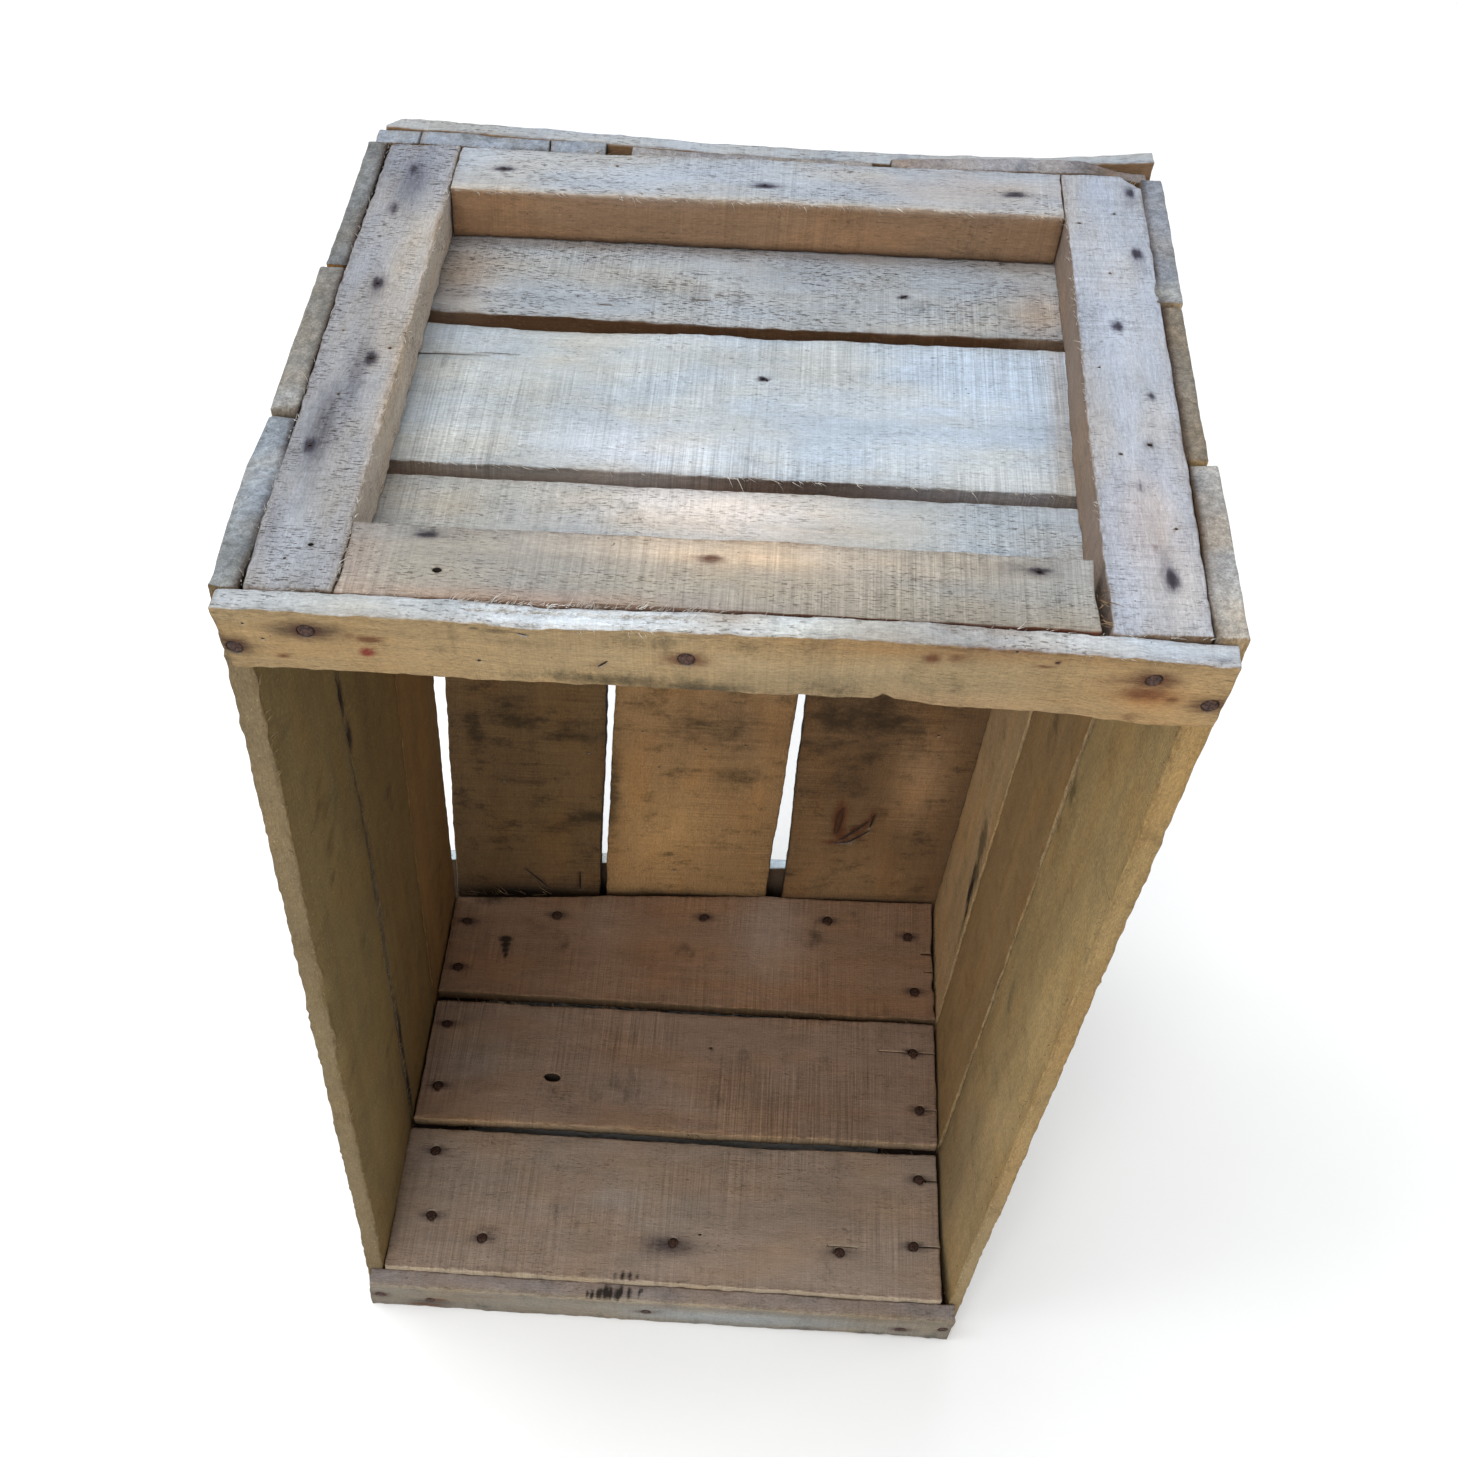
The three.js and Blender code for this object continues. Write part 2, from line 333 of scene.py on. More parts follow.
def fibre_material(name, dark, light):
    """Torn wood fibres."""
    s = Shader(name)
    where = s.node("ShaderNodeTexCoord", out="Object")
    streak = s.noise(where, scale=160, detail=4, rough=0.65)
    colour = s.mix(s.ramp(streak, 0.35, 0.65), rgba(dark), rgba(light))
    return s.finish(colour, s.ramp(streak, 0.3, 0.7, 0.8, 0.95), streak, 0.1)


WOOD = {
    "batten": wood_material("wood_batten", saw=0.6, blotch=0.0, ring=0.04, felted=0.11),
    "batten_crosswise": wood_material("wood_batten_crosswise", saw=0.4, blotch=0.1, ring=0.04,
                                      crosswise=True, felted=0.12),
    "end_slat": wood_material("wood_end_slat", saw=0.8, blotch=0.12, ring=0.04, fuzz=0.12, felted=0.11),
    "side_slat": wood_material("wood_side_slat", saw=0.15, blotch=0.35, ring=0.05, crosswise=True,
                               mottle=0.7, fuzz=0.5, felted=0.2),
    "bottom_board": wood_material("wood_bottom_board", saw=0.9, blotch=0.85, ring=0.05, crosswise=True,
                                  mottle=0.84, felted=0.17),
    "skid": wood_material("wood_skid", saw=0.4, blotch=0.1, ring=0.05, mottle=0.8),
    "mouth_rail": wood_material("wood_mouth_rail", saw=0.45, blotch=0.4, ring=0.05, slant=0.55, fuzz=0.25,
                                felted=0.15),
}
NAIL = nail_material()
PALE_FIBRE = fibre_material("torn_fibre_pale", (168, 158, 146), (222, 220, 214))
BROWN_FIBRE = fibre_material("torn_fibre_brown", (96, 74, 54), (160, 136, 108))

# ---------------------------------------------------------------- marks, cuts and how boards look

FACES = {"-x": (0, -1), "+x": (0, 1), "-y": (1, -1), "+y": (1, 1), "-z": (2, -1), "+z": (2, 1)}


def on_face(facing, a, b, low, high):
    """A point on one face of a board, from the two coordinates that run over the face."""
    axis, sign = FACES[facing]
    point = np.zeros(3)
    point[[i for i in range(3) if i != axis]] = a, b
    point[axis] = high[axis] if sign > 0 else low[axis]
    return point


BROWN = ((118, 96, 72), 0.1)
GREY = ((150, 146, 139), 0.8)
NAIL_HEAD = 2.75  # radius of the drawn nail heads


def faces(default=BROWN, **given):
    """Colours by the way a face looks: xp is +X, xn is -X and so on."""
    table = {"else": default}
    for key, value in given.items():
        table[("+" if key[1] == "p" else "-") + key[0]] = value
    return table


# Marks are (a, b, reach along the grain, reach across it, strength) on the face named by "on",
# and so are holes (a, b, radius, depth) and splits (a, b, half length, half width, depth, turn).
# Edge lines ("low", "high") and end lines ("start", "end") are (place, shift) pairs, in
# millimetres across or along the grain. Washes are (centre, radii, colour, strength): top_wash
# and mouth_wash colour only what looks up or towards the mouth. Dents are (centre, radii, push).
# wave and tear say how much the edges wander and how torn they are, and cup how far the middle
# of the width rises. flecked and sawn scale the marks that the saw left.
DARK_GAP = (52, 34, 26)  # the shade deep between two boards

LOOKS = {
    "upper_end_slat_rear": dict(
        on="+z", wave=0.5, flecked=0.9,
        # yn is painted dark brown: painted shade in the gap between the slats.
        faces=faces(zp=((163, 167, 171), 1), yn=((80, 55, 33), 0)),
        iron=[(-126, 212, 14, 10, 0.2), (64, 222, 3, 1.5, 0.9)],
        mould=[(-20, 214, 22, 5, 0.4), (-44, 218, 16, 5, 0.3), (60, 216, 22, 4, 0.3)],
        low=[(-131, 1.5), (0, -0.5), (130, 1.0)],
        washes=[((-124, 226, 571), (16, 26, 8), (158, 140, 122), 0.75),
            ((122, 214, 571), (13, 22, 8), (168, 148, 130), 0.6),
            # Darker along the foot of the rear batten: painted shade in the corner.
            ((0, 249, 571), (300, 5, 9), (120, 104, 94), 0.6)],
        splits=[(-60, 207, 3, 0.3, 1, 0), (-20, 213, 3.5, 0.3, 1, 0), (64.5, 222.5, 1.6, 0.5, 1.4, 0.6)]),
    "upper_end_slat_middle": dict(
        on="+z", flecked=0.35, sawn=1.3,
        # yn is painted dark brown: painted shade in the gap between the slats.
        faces=faces(zp=((176, 184, 191), 1), yn=((80, 55, 33), 0)),
        iron=[(7.9, 163.4, 2.4, 1.5, 1.0)],
        holes=[(7.9, 163.4, 0.9, 1.5), (9.4, 162.6, 0.7, 1.5)],
        washes=[((-90, 150, 571), (50, 60, 9), (170, 173, 172), 0.7),
            ((100, 150, 571), (60, 60, 9), (184, 196, 210), 0.7),
            # The whitish patch left of the middle is painted light, a glow of sun.
            ((-38, 116, 571), (36, 16, 9), (208, 208, 212), 0.5),
            ((126, 150, 571), (5, 60, 9), (160, 140, 116), 0.5)],
        splits=[(-128, 169.5, 26, 0.35, 2.5, 0.02), (-100, 171.6, 9, 0.25, 1.2, 0.0)],
        low=[(-131, 2.0), (-13, 1.5), (128, 0.5)],
        high=[(-131, 1.2), (0, 1), (130, 1.5)],
        dents=[((-80, 190, 571), (60, 4.5, 6), (0, 0, -1.4)), ((10, 190, 571), (20, 3, 6), (0, 0, -0.8))]),
    "upper_end_slat_front": dict(
        on="+z", flecked=0.6,
        # yn is painted dark brown: painted shade in the gap at the front.
        faces=faces(zp=((168, 170, 170), 1), yn=((80, 55, 33), 0)),
        high=[(-131, 0.8), (0, 0.8), (128, 1)],
        mould=[(-60, 84, 40, 4, 0.3)],
        washes=[((-110, 75, 571), (40, 40, 9), (162, 158, 150), 0.8),
            ((100, 75, 571), (45, 40, 9), (178, 186, 193), 0.8),
            # The pale warm patch across the middle is painted light, a patch of sun.
            ((-4, 84, 571), (44, 15, 9), (226, 212, 200), 0.8),
            ((120, 60, 571), (14, 20, 9), (170, 156, 138), 0.5)]),
    "upper_end_batten_rear": dict(
        on="+z", flecked=0.7,
        faces=faces(zp=((161, 166, 173), 1), yn=((138, 110, 85), 0.1), yp=(DARK_GAP, 0)),
        iron=[(-110, 266, 5, 2.0, 1.1), (-110, 266, 12, 3.5, 0.3), (2, 262, 6, 2.0, 1.1),
            (2, 262, 14, 3.5, 0.3), (108, 264, 6, 2.0, 1.1), (108, 264, 14, 4, 0.35)],
        rust=[(8, 262, 2, 1, 0.6)],
        holes=[(-62, 272, 0.7, 1.5), (-110, 266, 0.7, 1), (2, 262, 0.7, 1)],
        # The first wash, a dark line at the foot of the front face, is painted shade where the batten meets
        # the slat.
        washes=[((0, 249, 571), (400, 6, 2.4), (44, 28, 20), 0.9),
            ((0, 249, 595), (400, 4, 1.6), (206, 196, 182), 0.5),
            ((-40, 262, 595), (30, 9, 5), (176, 184, 196), 0.5),
            ((90, 266, 595), (40, 12, 5), (168, 158, 154), 0.5)],
        high=[(-131, 0), (-60, -1), (0, 0), (126, -0.5)]),
    "upper_end_batten_front": dict(
        on="+z", flecked=0.6, sawn=2.0,
        faces=faces(zp=((150, 147, 141), 1), yn=((92, 54, 38), 0), xp=((96, 72, 54), 0)),
        iron=[(-104, 40, 5, 2, 1.0), (-104, 40, 13, 4, 0.35), (106, 37, 5, 2, 1.0),
            (100, 38, 16, 4.5, 0.4), (-6, 35, 4, 1.8, 0.7)],
        rust=[(-6, 35, 5, 2.2, 0.9), (-12, 35, 6, 2, 0.4)],
        holes=[(-98, 23, 1.7, 3), (106, 37, 0.9, 1)],
        # The first wash, a pale warm patch in the middle, is painted light, a patch of sun.
        washes=[((-6, 38, 595), (56, 9, 8), (218, 194, 168), 0.8),
            ((-60, 24, 595), (90, 14, 8), (152, 146, 136), 0.7),
            ((-126, 26, 595), (8, 20, 8), (158, 140, 128), 0.6),
            ((-70, 12, 595), (60, 4, 8), (172, 140, 118), 0.5)],
        dents=[((126, 30, 595), (3, 20, 12), (-1.2, 0, 0)), ((-131, 26, 595), (1.6, 20, 8), (1.0, 0, 0)),
            ((0, 10, 595), (140, 1.6, 8), (0, 0.7, 0))]),
    "upper_end_batten_left": dict(
        on="+z", flecked=0.85, tear=1.8,
        faces=faces(zp=((149, 149, 152), 1), xp=((176, 165, 152), 0.8), xn=(DARK_GAP, 0)),
        iron=[(-148, 262, 5, 1.8, 1.0), (-147, 252, 26, 9, 0.45), (-152, 233, 6, 2.0, 0.8),
            (-148.5, 181, 5, 2.2, 1.1), (-148, 178, 12, 4.5, 0.45), (-142, 134, 5, 2.4, 1.1),
            (-146, 122, 34, 5, 0.45), (-154.5, 83, 6, 2.6, 1.0), (-152, 92, 32, 6.5, 0.55),
            (-158, 40, 22, 5, 0.3)],
        holes=[(-136, 140.5, 0.8, 2), (-143, 32, 1.1, 2.5), (-150.5, 25, 0.6, 2), (-154.5, 83, 0.8, 1),
            (-148.5, 181, 0.8, 1), (-142, 134, 0.8, 1), (-156, 150, 0.5, 2), (-150, 112, 0.6, 2)],
        washes=[((-148, 40, 595), (16, 44, 8), (149, 151, 155), 0.7),
            ((-147, 262, 595), (18, 26, 8), (112, 120, 138), 0.6),
            ((-138, 200, 595), (6, 60, 8), (176, 168, 156), 0.5),
            ((-131, 150, 595), (2.6, 120, 3), (188, 172, 150), 0.5)],
        low=[(10, 0.5), (150, -0.3), (282, 0.6)]),
    "upper_end_batten_right": dict(
        on="+z", flecked=0.4, sawn=1.5,
        faces=faces(zp=((168, 172, 181), 1), xn=((130, 113, 100), 0.4), xp=(DARK_GAP, 0)),
        iron=[(157, 269, 5, 2.2, 0.95), (157, 266, 12, 4, 0.35), (156, 225, 4.5, 2.4, 1.1),
            (156, 222, 9, 4, 0.35), (144, 176, 3.5, 2.2, 1.1), (144, 176, 6, 3.5, 0.35),
            (153, 134, 2.5, 1.5, 0.9), (145, 83, 4, 1.2, 0.8), (151, 37, 6, 2.6, 1.1),
            (150, 41, 13, 4.5, 0.42), (150, 106, 3.4, 2.8, 0.5)],
        rust=[(147, 52, 2, 1, 0.7), (146, 60, 24, 8, 0.12)],
        holes=[(149, 253, 0.7, 2), (134, 245, 0.7, 2), (144, 211, 0.6, 2), (155, 62, 0.7, 2),
            (150, 106, 1.0, 1.2), (135, 150, 0.5, 2), (139, 100, 0.7, 2)],
        washes=[((146, 62, 595), (12, 30, 8), (182, 168, 160), 0.7),
            ((150, 262, 595), (18, 28, 8), (142, 150, 164), 0.6),
            ((150, 30, 595), (14, 14, 8), (178, 178, 182), 0.6)],
        dents=[((163, 282, 595), (9, 7, 14), (-3, -3.5, -2.5)),
            ((163, 276, 595), (4, 3, 5), (-1.5, 0, -2)), ((129, 25, 595), (3, 16, 14), (0.9, 0, 0))],
        high=[(10, -0.5), (150, 0.3), (282, -0.4)]),
    "lower_end_slat_rear": dict(
        on="+z", wave=0.7, sawn=1.4,
        # The faces towards the gaps behind and at the right end are painted dark, yp near black: painted
        # shade.
        faces=faces(zp=((147, 118, 95), 0.2), yn=((112, 90, 66), 0.1), yp=((30, 22, 18), 0),
            xp=((60, 46, 34), 0)),
        iron=[(-102, 249, 9, 4, 0.3)],
        mould=[(-86, 240, 14, 10, 0.4), (-10, 238, 18, 6, 0.4), (80, 252, 14, 8, 0.4),
            (-140, 272, 30, 7, 0.6)],
        washes=[((50, 255, 33), (24, 34, 9), (168, 152, 140), 0.6),
            ((-60, 255, 33), (14, 34, 9), (158, 138, 122), 0.35),
            ((-90, 225, 33), (30, 20, 9), (128, 100, 78), 0.5),
            ((100, 225, 33), (30, 16, 9), (160, 128, 102), 0.4)],
        # The last of these marks, a dark band along the left of the rear edge, is painted shade of the deep
        # gap at the back boards.
        dirt_and_shade=[(-124, 238.5, 5, 3.0, 1.0), (-123.4, 234, 3.4, 3.2, 1.0), (-122.8, 230, 2.4, 3, 0.95),
            (-122.4, 226, 1.5, 3, 0.9), (-146, 281, 44, 3.4, 1.0)],
        dents=[((-150, 282, 34), (46, 9, 9), (0, -1.2, -4)), ((163, 250, 34), (5, 14, 8), (-1.6, 0, -1)),
            ((163, 222, 34), (5, 8, 8), (-1.8, 0, -1.2)), ((163, 205, 34), (4, 5, 8), (-1.2, 0, -1))],
        high=[(-162, -12.0), (-115, -8.0), (-62, -4.4), (50, -0.6), (162, 0)],
        start=[(196, 0.6), (282, 1.2)],
        end=[(196, -1.6), (240, -2.6), (282, -1.8)],
        splits=[(158, 246, 6, 0.3, 3, 0), (159, 232, 5, 0.3, 3, 0.05)]),
    "lower_end_slat_middle": dict(
        on="+z", wave=0.6, sawn=2.0,
        # yn is painted pale, painted light on the front face; yp and xp are painted dark, painted shade in
        # the gaps.
        faces=faces(zp=((150, 127, 110), 0.3), yn=((186, 160, 130), 0.1), yp=((60, 46, 34), 0),
            xp=((60, 46, 34), 0)),
        iron=[(-120, 158, 30, 10, 0.2), (40, 150, 30, 14, 0.15)],
        mould=[(60, 160, 30, 12, 0.35), (-40, 130, 30, 12, 0.3)],
        washes=[((-128, 150, 33), (22, 16, 9), (158, 146, 136), 0.6),
            ((-20, 130, 33), (40, 12, 9), (166, 148, 134), 0.4),
            # A dark band low on the front face and a pale band along its top edge: painted shade and
            # painted light in the gap.
            ((0, 106, 23.4), (400, 4, 3.4), (36, 26, 20), 0.95),
            ((0, 105.5, 32.6), (400, 2.8, 2.6), (178, 150, 122), 0.8),
            ((90, 120, 33), (40, 14, 9), (138, 116, 98), 0.4)],
        holes=[(18, 166, 0.8, 2)],
        low=[(-162, -1.8), (-80, 0), (3, 0), (162, 1.4)],
        high=[(-162, -1.5), (-60, -0.6), (3, -0.4), (162, 2.2)],
        start=[(106, 0.4), (190, 1.2)],
        end=[(106, -1.8), (190, -2.6)],
        splits=[(158, 171, 7, 0.4, 3, 0), (146, 171, 22, 0.2, 1, 0), (158, 131, 5, 0.25, 2, 0),
            (-80, 138.2, 5.4, 3.1, 7, -0.08)]),
    "lower_end_slat_front": dict(
        on="+z", wave=0.5, sawn=1.3,
        # yp and xp are painted dark: painted shade in the gaps behind and at the right end.
        faces=faces(zp=((159, 141, 126), 0.4), yn=((186, 170, 148), 0.1), yp=((60, 46, 34), 0),
            xp=((60, 46, 34), 0)),
        iron=[(2, 33, 20, 7.5, 0.62), (-8, 30, 12, 5, 0.4), (102, 35, 14, 5, 0.45), (-22, 22, 12, 5, 0.2),
            (-106, 36, 9, 3, 0.4), (150, 41, 10, 4, 0.4)],
        mould=[(-70, 60, 30, 14, 0.2)],
        dirt_and_shade=[(-27, 12.5, 1.2, 2.4, 0.8), (-23, 13, 1.5, 3, 0.9), (-19, 13, 1.3, 3, 0.8),
            (-15, 13, 1.2, 2.4, 0.7), (-11, 12.5, 1.0, 2, 0.5)],
        washes=[((-25, 60, 33), (34, 16, 9), (174, 162, 152), 0.6),
            ((100, 68, 33), (40, 16, 9), (150, 130, 112), 0.5),
            ((-110, 80, 33), (40, 14, 9), (166, 150, 136), 0.5)],
        high=[(-162, 0.6), (-95, 1.6), (3, 1.9), (62, 1.4), (162, 3.9)],
        start=[(10, 0.3), (97, 0.3)],
        end=[(10, -0.8), (97, -2.0)],
        holes=[(20, 41, 0.8, 2)],
        splits=[(156, 42, 8, 0.35, 3, 0), (157, 84, 6, 0.25, 2, 0), (104, 39, 9, 0.2, 1, 0.0)]),
    # The tops of the four lower end battens, under the lower end slats, are painted dark: painted shade.
    "lower_end_batten_rear": dict(
        faces=faces(zn=GREY, zp=((30, 23, 19), 0))),
    "lower_end_batten_front": dict(
        faces=faces(zn=GREY, zp=((40, 31, 25), 0))),
    "lower_end_batten_left": dict(
        faces=faces(zn=GREY, zp=((40, 31, 25), 0))),
    "lower_end_batten_right": dict(
        faces=faces(zn=GREY, zp=((40, 31, 25), 0))),
    "side_slat_left_front": dict(
        on="+x", wave=1.0, tear=2.2, cup=0.8,
        faces=faces(xp=((124, 105, 66), 0.2), yn=((120, 104, 76), 0.15), xn=GREY,
            zp=((150, 157, 163), 1)),
        mould=[(50, 400, 40, 16, 0.35), (80, 150, 60, 12, 0.3), (30, 250, 50, 10, 0.2)],
        high=[(0, 5.5), (60, 4), (200, 3), (300, 3.5), (440, -3), (595, 0)],
        washes=[((-163, 60, 590), (2.2, 200, 22), DARK_GAP, 0.95),
            ((-168, 40, 300), (8, 30, 120), (116, 104, 66), 0.4),
            ((-168, 26, 595), (9, 10, 6), (104, 106, 104), 0.6),
            ((-168, 66, 595), (9, 22, 6), (160, 168, 178), 0.7)],
        dents=[((-163, 10, 370), (5, 8, 30), (-1.5, 1, 0)), ((-163, 10, 330), (4, 6, 16), (-1.6, 1, 0)),
            ((-163, 10, 260), (5, 6, 34), (-1.4, 0.6, 0)), ((-173, 58, 595), (10, 46, 60), (-2.6, 0, 0))]),
    "side_slat_left_middle": dict(
        on="+x", wave=0.8, tear=1.8, shift=(0.25, 0, 0),
        faces=faces(xp=((122, 101, 62), 0.1), yn=((96, 82, 58), 0.1), xn=GREY, zp=((138, 136, 131), 1)),
        mould=[(150, 300, 60, 12, 0.3)],
        dirt_and_shade=[(97, 437, 16, 4, 0.8), (101, 408, 13, 4, 0.75), (104, 250, 22, 3, 0.5),
            (106, 130, 46, 4.5, 0.85), (107, 66, 40, 4, 0.8), (103, 330, 14, 2.5, 0.5)],
        washes=[((-162.5, 146, 590), (2.2, 200, 22), DARK_GAP, 0.95),
            ((-168, 110, 595), (9, 10, 6), (168, 172, 176), 0.6)],
        low=[(0, 4), (60, 3), (255, 6), (360, 0), (440, -6), (595, 0)],
        high=[(0, -4), (200, -6), (343, -4), (595, 0)]),
    "side_slat_left_rear": dict(
        on="+x", tear=1.4,
        faces=faces(xp=((139, 110, 69), 0.1), yn=((150, 112, 62), 0), xn=GREY, zp=((121, 122, 122), 1)),
        low=[(0, -5), (200, -7), (343, -5), (595, 0)],
        high=[(0, -8), (75, -9.7), (170, -11.3), (250, -12), (400, -6), (595, 0)],
        washes=[((-163, 236, 590), (2.2, 200, 22), DARK_GAP, 0.95),
            ((-168, 250, 595), (9, 20, 6), (150, 152, 152), 0.6)],
        mould=[(230, 90, 60, 20, 0.3)]),
    "side_slat_right_front": dict(
        on="-x", wave=0.9, tear=1.8,
        faces=faces(xn=((177, 151, 103), 0.2), yn=((150, 125, 82), 0.1), xp=GREY,
            zp=((178, 178, 178), 1)),
        high=[(0, 12), (50, 10), (442, 4.5), (595, 0)],
        mould=[(80, 250, 12, 6, 0.6), (60, 150, 60, 10, 0.2), (96, 400, 12, 4, 0.8),
            (98, 372, 9, 3, 0.6)],
        washes=[((163, 60, 590), (2.2, 200, 22), DARK_GAP, 0.95),
            ((168, 24, 595), (9, 18, 6), (196, 190, 180), 0.6),
            ((168, 60, 595), (4, 26, 6), (120, 104, 88), 0.5),
            ((163, 50, 60), (5, 120, 170), (152, 131, 98), 0.8)],
        dents=[((164, 8, 60), (9, 46, 560), (4.2, 0, 0))],
        mouth_wash=[((170, 10, 60), (8, 9, 150), (144, 128, 98), 0.7)],
        splits=[(60, 572, 0.35, 26, 1.5, 0)]),
    "side_slat_right_middle": dict(
        on="-x", tear=1.8, wave=0.8, shift=(-0.6, 0, 0),
        faces=faces(xn=((168, 138, 95), 0.1), yn=((172, 150, 112), 0.1), xp=GREY,
            zp=((138, 130, 118), 1)),
        low=[(0, 12), (50, 10), (442, 4.5), (595, 0)],
        washes=[((162.5, 146, 590), (2.2, 200, 22), DARK_GAP, 0.95)],
        high=[(0, 5), (200, 6), (340, 5.5), (595, 0)],
        mould=[(150, 400, 60, 12, 0.3)]),
    "side_slat_right_rear": dict(
        on="-x", tear=1.4, shift=(-1.0, 0, 0),
        faces=faces(xn=((206, 176, 132), 0.1), yn=((180, 154, 114), 0), xp=GREY, zp=((145, 149, 157), 1)),
        low=[(0, 5), (200, 6), (340, 5.5), (595, 0)],
        dirt_and_shade=[(209, 160, 17, 4.6, 0.9), (204, 148, 12, 3.5, 0.85), (213, 174, 11, 4, 0.7),
            (210, 188, 10, 3, 0.5)],
        mould=[(214, 200, 22, 9, 1.1), (209, 176, 26, 9, 1.0), (203, 128, 30, 4, 0.6),
            (240, 300, 60, 12, 0.3)],
        washes=[((162, 236, 590), (2.2, 200, 22), DARK_GAP, 0.95),
            ((168, 250, 595), (9, 20, 6), (150, 158, 172), 0.6),
            ((168, 200, 595), (9, 8, 6), (176, 182, 184), 0.6)],
        dents=[((163, 196, 570), (8, 16, 190), (-2.0, 0, 0))],
        splits=[(210.5, 168, 0.5, 9, 1.5, 0.12)]),
    "bottom_board_left": dict(
        on="-y", wave=0.6,
        # The side face towards the next board, xp, is painted dark: painted shade in the gap.
        faces=faces(yn=((110, 86, 56), 0.1), yp=GREY, zp=((146, 153, 163), 1), xp=((40, 30, 22), 0)),
        mould=[(-112, 214, 20, 30, 0.7), (-84, 200, 15, 26, 0.7), (-76, 116, 13, 20, 0.8),
            (-96, 100, 8, 18, 0.6), (-144, 196, 28, 8, 0.7), (-120, 150, 8, 30, 0.45),
            (-120, 90, 8, 40, 0.4), (-140, 44, 12, 20, 0.6)],
        # These washes darken the foot of the board; the near-black one at the bottom is painted shade
        # behind the lower end slats.
        washes=[((-114, 280, 40), (60, 9, 18), (98, 74, 52), 0.5),
            ((-114, 278, 30), (70, 12, 9), (26, 19, 15), 0.95)],
        holes=[(-74, 181, 0.7, 2), (-128, 150, 0.6, 2)],
        splits=[(-108, 46, 0.6, 14, 1.6, 0.62), (-79, 44, 0.45, 11, 1.5, 0.0)],
        low=[(0, -1), (61, -0.5), (241, 2.2), (560, -5), (595, -7.4)],
        high=[(61, 1.6), (241, 2.8), (595, -2)],
        end=[(-162, 0), (-66, -2.2)],
        top_splits=[-150, -93]),
    "bottom_board_middle": dict(
        on="-y", wave=0.6,
        # The side face towards the next board, xp, is painted dark: painted shade in the gap.
        faces=faces(yn=((150, 118, 80), 0.1), yp=GREY, zp=((150, 148, 150), 1), xp=((40, 30, 22), 0)),
        mould=[(10, 208, 22, 46, 0.5), (24, 168, 16, 30, 0.5), (-30, 206, 12, 24, 0.35),
            (-58, 150, 60, 6, 0.8), (40, 190, 50, 9, 0.4)],
        washes=[((-26, 283, 96), (34, 9, 60), (182, 144, 96), 0.75),
            ((18, 283, 215), (40, 9, 40), (122, 96, 70), 0.6),
            # The near-black wash at the foot is painted shade behind the lower end slats.
            ((-6, 282, 29), (60, 12, 7), (32, 23, 18), 0.9)],
        holes=[(-2, 190, 0.6, 2), (-30, 170, 0.5, 2), (22, 196, 0.6, 2), (-41, 204, 0.5, 2),
            (-16, 60, 0.5, 2)],
        low=[(0, -0.5), (69, -0.7), (241, 2.4), (595, 2.5)],
        high=[(66, -1), (240, 0.9), (595, 0)],
        end=[(-60, -4), (-30, -5), (48, -6)]),
    "bottom_board_right": dict(
        on="-y", wave=0.7,
        # The side face towards the next board, xn, is painted dark: painted shade in the gap.
        faces=faces(yn=((110, 84, 57), 0.1), yp=GREY, zp=((152, 152, 158), 1), xn=((40, 30, 22), 0)),
        mould=[(92, 230, 24, 50, 0.8), (76, 196, 18, 34, 0.6), (112, 204, 14, 34, 0.55),
            (130, 222, 24, 14, 0.4), (84, 168, 16, 24, 0.55), (105, 110, 26, 26, 0.25),
            (96, 150, 12, 30, 0.4)],
        washes=[((132, 283, 168), (17, 9, 48), (166, 132, 96), 0.85),
            ((100, 283, 56), (46, 9, 34), (152, 120, 84), 0.7),
            # The near-black wash at the foot is painted shade behind the lower end slats.
            ((111, 286, 29), (60, 12, 6), (36, 27, 21), 0.9),
            ((88, 283, 112), (24, 9, 20), (124, 98, 68), 0.5)],
        rust=[(87, 126, 20, 4.2, 1.3), (88, 112, 12, 4.4, 1.3), (92, 104, 6, 5, 1.2),
            (98, 112, 6, 4, 1.2), (104, 120, 7, 3, 1.2), (107, 130, 8, 2.4, 1.0), (86, 98.5, 3, 9, 1.1),
            (102, 108, 8, 3, 0.9)],
        splits=[(87, 122, 2.0, 15, 1.6, -0.05), (98, 112.5, 1.2, 15, 1.6, -0.62),
            (108, 124, 0.7, 8, 1.3, -0.1), (91, 99, 7, 0.8, 1.2, 0.1), (102, 106.5, 0.8, 10, 1.4, -0.72)],
        holes=[(136, 215, 0.7, 2), (139, 196, 0.6, 2)],
        low=[(0, 3), (78, 2.6), (240, -0.9), (595, 0.5)],
        end=[(55, -4), (90, -1.5), (130, 0), (167, 0)],
        dents=[((167, 290, 595), (30, 12, 16), (0, 0, -6))],
        top_wash=[((152, 288, 595), (16, 12, 8), (112, 92, 76), 0.9),
            ((64, 288, 595), (18, 12, 8), (140, 118, 98), 0.7)]),
    "skid_upper": dict(
        on="+z",
        faces=faces(default=GREY, zp=((164, 170, 177), 1), yn=((130, 104, 78), 0.1)),
        high=[(-170, 0), (-118, -1.3), (-68, -2.9), (-27, -4.9), (20, -5.8), (61, -6.4), (78, -5.9),
            (130, -3.2), (170, 0)],
        iron=[(61, 297, 5, 4, 0.9)],
        start=[(545, 1.0), (595, 3.6)],
        dents=[((62, 297, 589), (5, 6, 6), (0, 0, 1.5)), ((120, 302, 595), (60, 7, 14), (0, -3, 0)),
            ((-168, 302, 595), (8, 7, 10), (2.5, -1.5, -1.2))]),
    "skid_lower": dict(
        on="-y",
